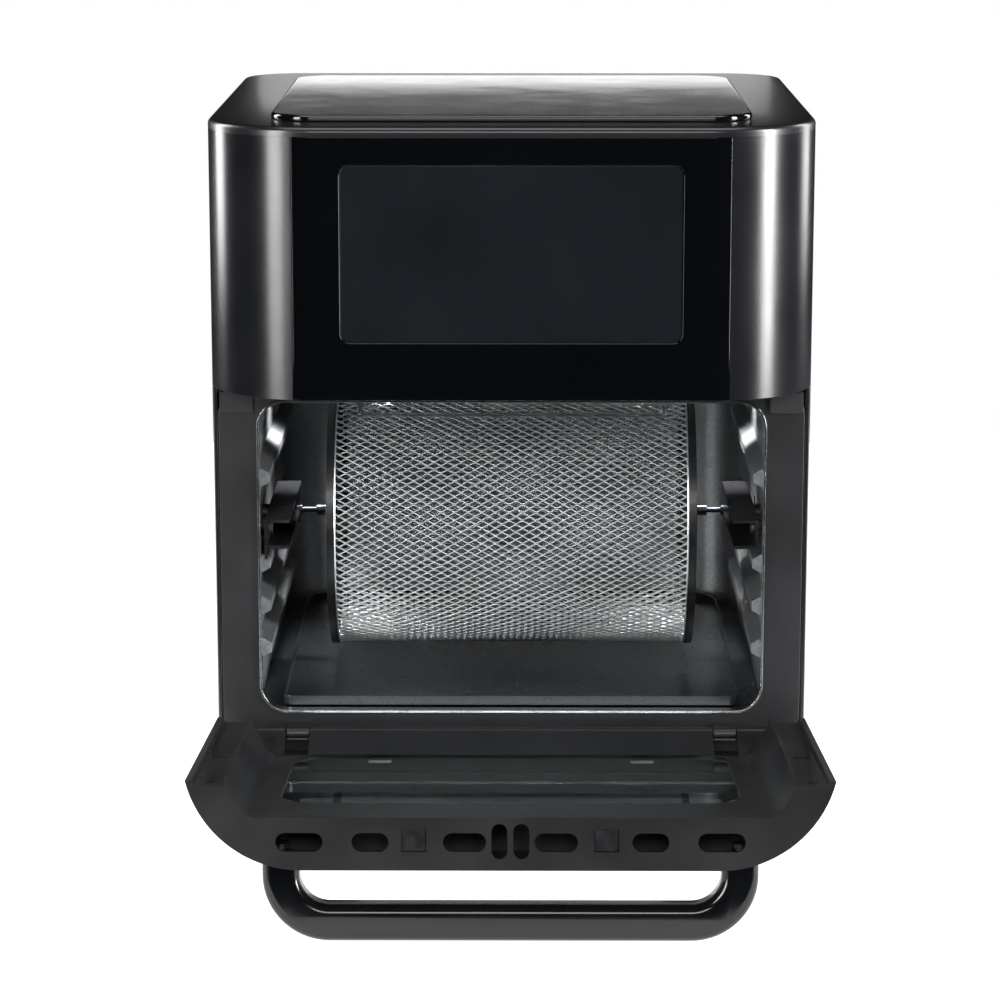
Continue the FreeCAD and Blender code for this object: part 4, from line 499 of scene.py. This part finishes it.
def tube(path, radius, sides=8, closed=False):  # round wire along a list of points, capped unless it is a hoop
    points, faces = [], []
    total = len(path)
    side = None
    for i, spot in enumerate(path):
        before = path[(i - 1) % total] if closed or i else path[i]
        after = path[(i + 1) % total] if closed or i < total - 1 else path[i]
        run = (after - before).normalized()
        if side is None:
            side = run.orthogonal().normalized()
        side = (side - run * side.dot(run)).normalized()
        up = run.cross(side)
        for k in range(sides):
            turn = 2 * math.pi * k / sides
            points.append(spot + (side * math.cos(turn) + up * math.sin(turn)) * radius)
    spans = total if closed else total - 1
    for i in range(spans):
        for k in range(sides):
            a, b = i * sides, ((i + 1) % total) * sides
            faces.append([a + k, a + (k + 1) % sides, b + (k + 1) % sides, b + k])
    if not closed:
        faces.append(list(range(sides)))
        faces.append([spans * sides + k for k in range(sides)])
    return points, faces


def onDrum(x, angle, radius):  # a point on the basket's round, angle from the rear, over the top
    turn = math.radians(angle)
    return (Vector((x, radius * math.cos(turn), radius * math.sin(turn))) + axis) * mm


def arcPath(x, start, stop, radius, steps):
    return [onDrum(x, start + (stop - start) * i / steps, radius) for i in range(steps + 1)]


# folded wire hems where the sheet is cut, and a hoop inside each end cap
hems = {"radius": 73.7, "wire": 0.75, "steps": 40, "hatchX": 84.6, "frontStep": 0.2, "lidX": 83.0,
        "lidFrom": 41.5, "lidTo": 122.6, "hoopX": 96.0, "hoopRadius": 75.0, "hoopWire": 0.55, "hoopSteps": 71}
shell = grown("basket_expanded_metal", sheetTree, {
    **sheetValues, "Hatch Half": meshSheet["hatchHalf"] * mm, "Hatch From": math.radians(meshSheet["hatchFrom"]),
    "Hatch To": math.radians(meshSheet["hatchTo"]), "Keep Hatch": False})
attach(shell, "basket")
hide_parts("basket_shell")
lid = grown("lid_expanded_metal", sheetTree, {
    **sheetValues, "Hatch Half": hems["lidX"] * mm, "Hatch From": math.radians(hems["lidFrom"]),
    "Hatch To": math.radians(hems["lidTo"]), "Keep Hatch": True})
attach(lid, "lid")
print("mesh faces:", len(shell.data.polygons), len(lid.data.polygons))

hatchSides = [tube(arcPath(side * hems["hatchX"], meshSheet["hatchFrom"], meshSheet["hatchTo"], hems["radius"],
                           hems["steps"]), hems["wire"] * mm) for side in (-1, 1)]
hatchFront = tube([onDrum(x, meshSheet["hatchTo"] + hems["frontStep"], hems["radius"])
                   for x in (-hems["hatchX"], hems["hatchX"])], hems["wire"] * mm)
fullTurn = 360 * hems["hoopSteps"] / (hems["hoopSteps"] + 1)
hoops = [tube(arcPath(side * hems["hoopX"], 0, fullTurn, hems["hoopRadius"], hems["hoopSteps"]),
              hems["hoopWire"] * mm, closed=True) for side in (-1, 1)]
shellHems = joined("basket_hems", [*hatchSides, hatchFront, *hoops], stainlessWire)
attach(shellHems, "basket")
lidSides = [tube(arcPath(side * hems["lidX"], hems["lidFrom"], hems["lidTo"], hems["radius"], hems["steps"]),
                 hems["wire"] * mm) for side in (-1, 1)]
lidEnds = [tube([onDrum(x, angle, hems["radius"]) for x in (-hems["lidX"], hems["lidX"])], hems["wire"] * mm)
           for angle in (hems["lidFrom"], hems["lidTo"])]
lidHems = joined("lid_hems", [*lidSides, *lidEnds], stainlessWire)
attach(lidHems, "lid")
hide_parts("basket_lid")
print("basket made")

# paper sweep under the oven, with a dim surround for reflections and white behind; places in millimetres
studio = {"left": -700, "right": 700, "front": -410, "back": 1000, "level": -0.4, "paper": "#b4b4b4", "fibre": 3.0,
          "relief": 0.02, "rough": 0.9, "glow": 1.0, "dark": 0.010}
sheet = bpy.data.meshes.new("studio_floor")
sheet.from_pydata([(x * mm, y * mm, studio["level"] * mm) for x, y in (
    (studio["left"], studio["front"]), (studio["right"], studio["front"]),
    (studio["right"], studio["back"]), (studio["left"], studio["back"]))], [], [(0, 1, 2, 3)])
floorSheet, floorTree, floorPlace = newMaterial("paperSweep")
fibres = addNode(floorTree, "ShaderNodeTexNoise", inputs={
    "Vector": floorPlace, "Scale": 1 / (studio["fibre"] * mm), "Detail": 3.0})
felt = addNode(floorTree, "ShaderNodeBump", inputs={"Height": fibres, "Distance": studio["relief"] * mm})
paper = addNode(floorTree, "ShaderNodeBsdfPrincipled", inputs={
    "Base Color": tone(studio["paper"]), "Roughness": studio["rough"], "Emission Color": tone("#ffffff"),
    "Emission Strength": studio["glow"], "Normal": felt})
addNode(floorTree, "ShaderNodeOutputMaterial", inputs={"Surface": paper})
sheet.materials.append(floorSheet)
floor = bpy.data.objects.new("studio_floor", sheet)
bpy.context.scene.collection.objects.link(floor)

world = bpy.data.worlds.new("studio")
bpy.context.scene.world = world
world.use_nodes = True
skyTree = world.node_tree
skyTree.nodes.clear()
around = addNode(skyTree, "ShaderNodeBackground", inputs={"Color": (1, 1, 1, 1), "Strength": studio["dark"]})
seen = addNode(skyTree, "ShaderNodeBackground", inputs={"Color": (1, 1, 1, 1), "Strength": 1.0})
direct = addNode(skyTree, "ShaderNodeLightPath").outputs["Is Camera Ray"]
sky = addNode(skyTree, "ShaderNodeMixShader", inputs={0: direct, 1: around, 2: seen})
addNode(skyTree, "ShaderNodeOutputWorld", inputs={"Surface": sky})

# softboxes: place, what they face, width, height, watts, spread in degrees; the last two light the side walls
lights = {
    "topBox": ((0.0, -0.35, 2.3), (0, -0.1, 0.1), 1.8, 1.4, 24, 180),
    "frontBox": ((0.0, -2.5, 1.15), (0, -0.1, 0.12), 1.1, 0.5, 16, 180),
    "leftBox": ((-1.25, -1.35, 0.60), (0, -0.05, 0.2), 0.50, 1.3, 34, 180),
    "rightBox": ((1.65, -0.75, 0.60), (0, 0.0, 0.2), 0.42, 1.3, 70, 180),
    "leftRim": ((-1.5, 0.75, 0.7), (0, 0.05, 0.2), 0.5, 1.3, 26, 180),
    "rightRim": ((1.5, 0.95, 0.7), (0, 0.05, 0.2), 0.5, 1.3, 16, 180),
    "rearCard": ((0.0, 2.0, 0.317), (0, 0.0, 0.45), 0.60, 0.5, 1.7, 180),
    "ovenLeft": ((-0.118, -0.010, 0.256), (-0.137, 0.0, 0.100), 0.010, 0.12, 0.22, 50),
    "ovenRight": ((0.118, -0.010, 0.256), (0.137, 0.0, 0.100), 0.010, 0.12, 0.22, 50),
}
for name, (spot, target, width, height, watts, spread) in lights.items():
    lamp = bpy.data.lights.new(name, "AREA")
    lamp.shape = "RECTANGLE"
    lamp.size, lamp.size_y, lamp.energy = width, height, watts
    lamp.spread = math.radians(spread)
    softbox = bpy.data.objects.new(name, lamp)
    softbox.location = spot
    softbox.rotation_euler = (Vector(target) - Vector(spot)).to_track_quat("-Z", "Y").to_euler()
    softbox.visible_camera = False
    bpy.context.scene.collection.objects.link(softbox)

# where the camera stands in metres, how it is turned in degrees, focal length and film width in millimetres
view = {"place": (0.00326, -1.89339, 0.56235), "turn": (78.03, 0, 0.3), "focal": 122.55, "film": 36}
lens = bpy.data.cameras.new("camera")
lens.sensor_width = view["film"]
lens.lens = view["focal"]
camera = bpy.data.objects.new("camera", lens)
camera.location = view["place"]
camera.rotation_euler = [math.radians(angle) for angle in view["turn"]]
bpy.context.scene.collection.objects.link(camera)
bpy.context.scene.camera = camera
bpy.context.scene.view_settings.view_transform = "Standard"
print("studio made")
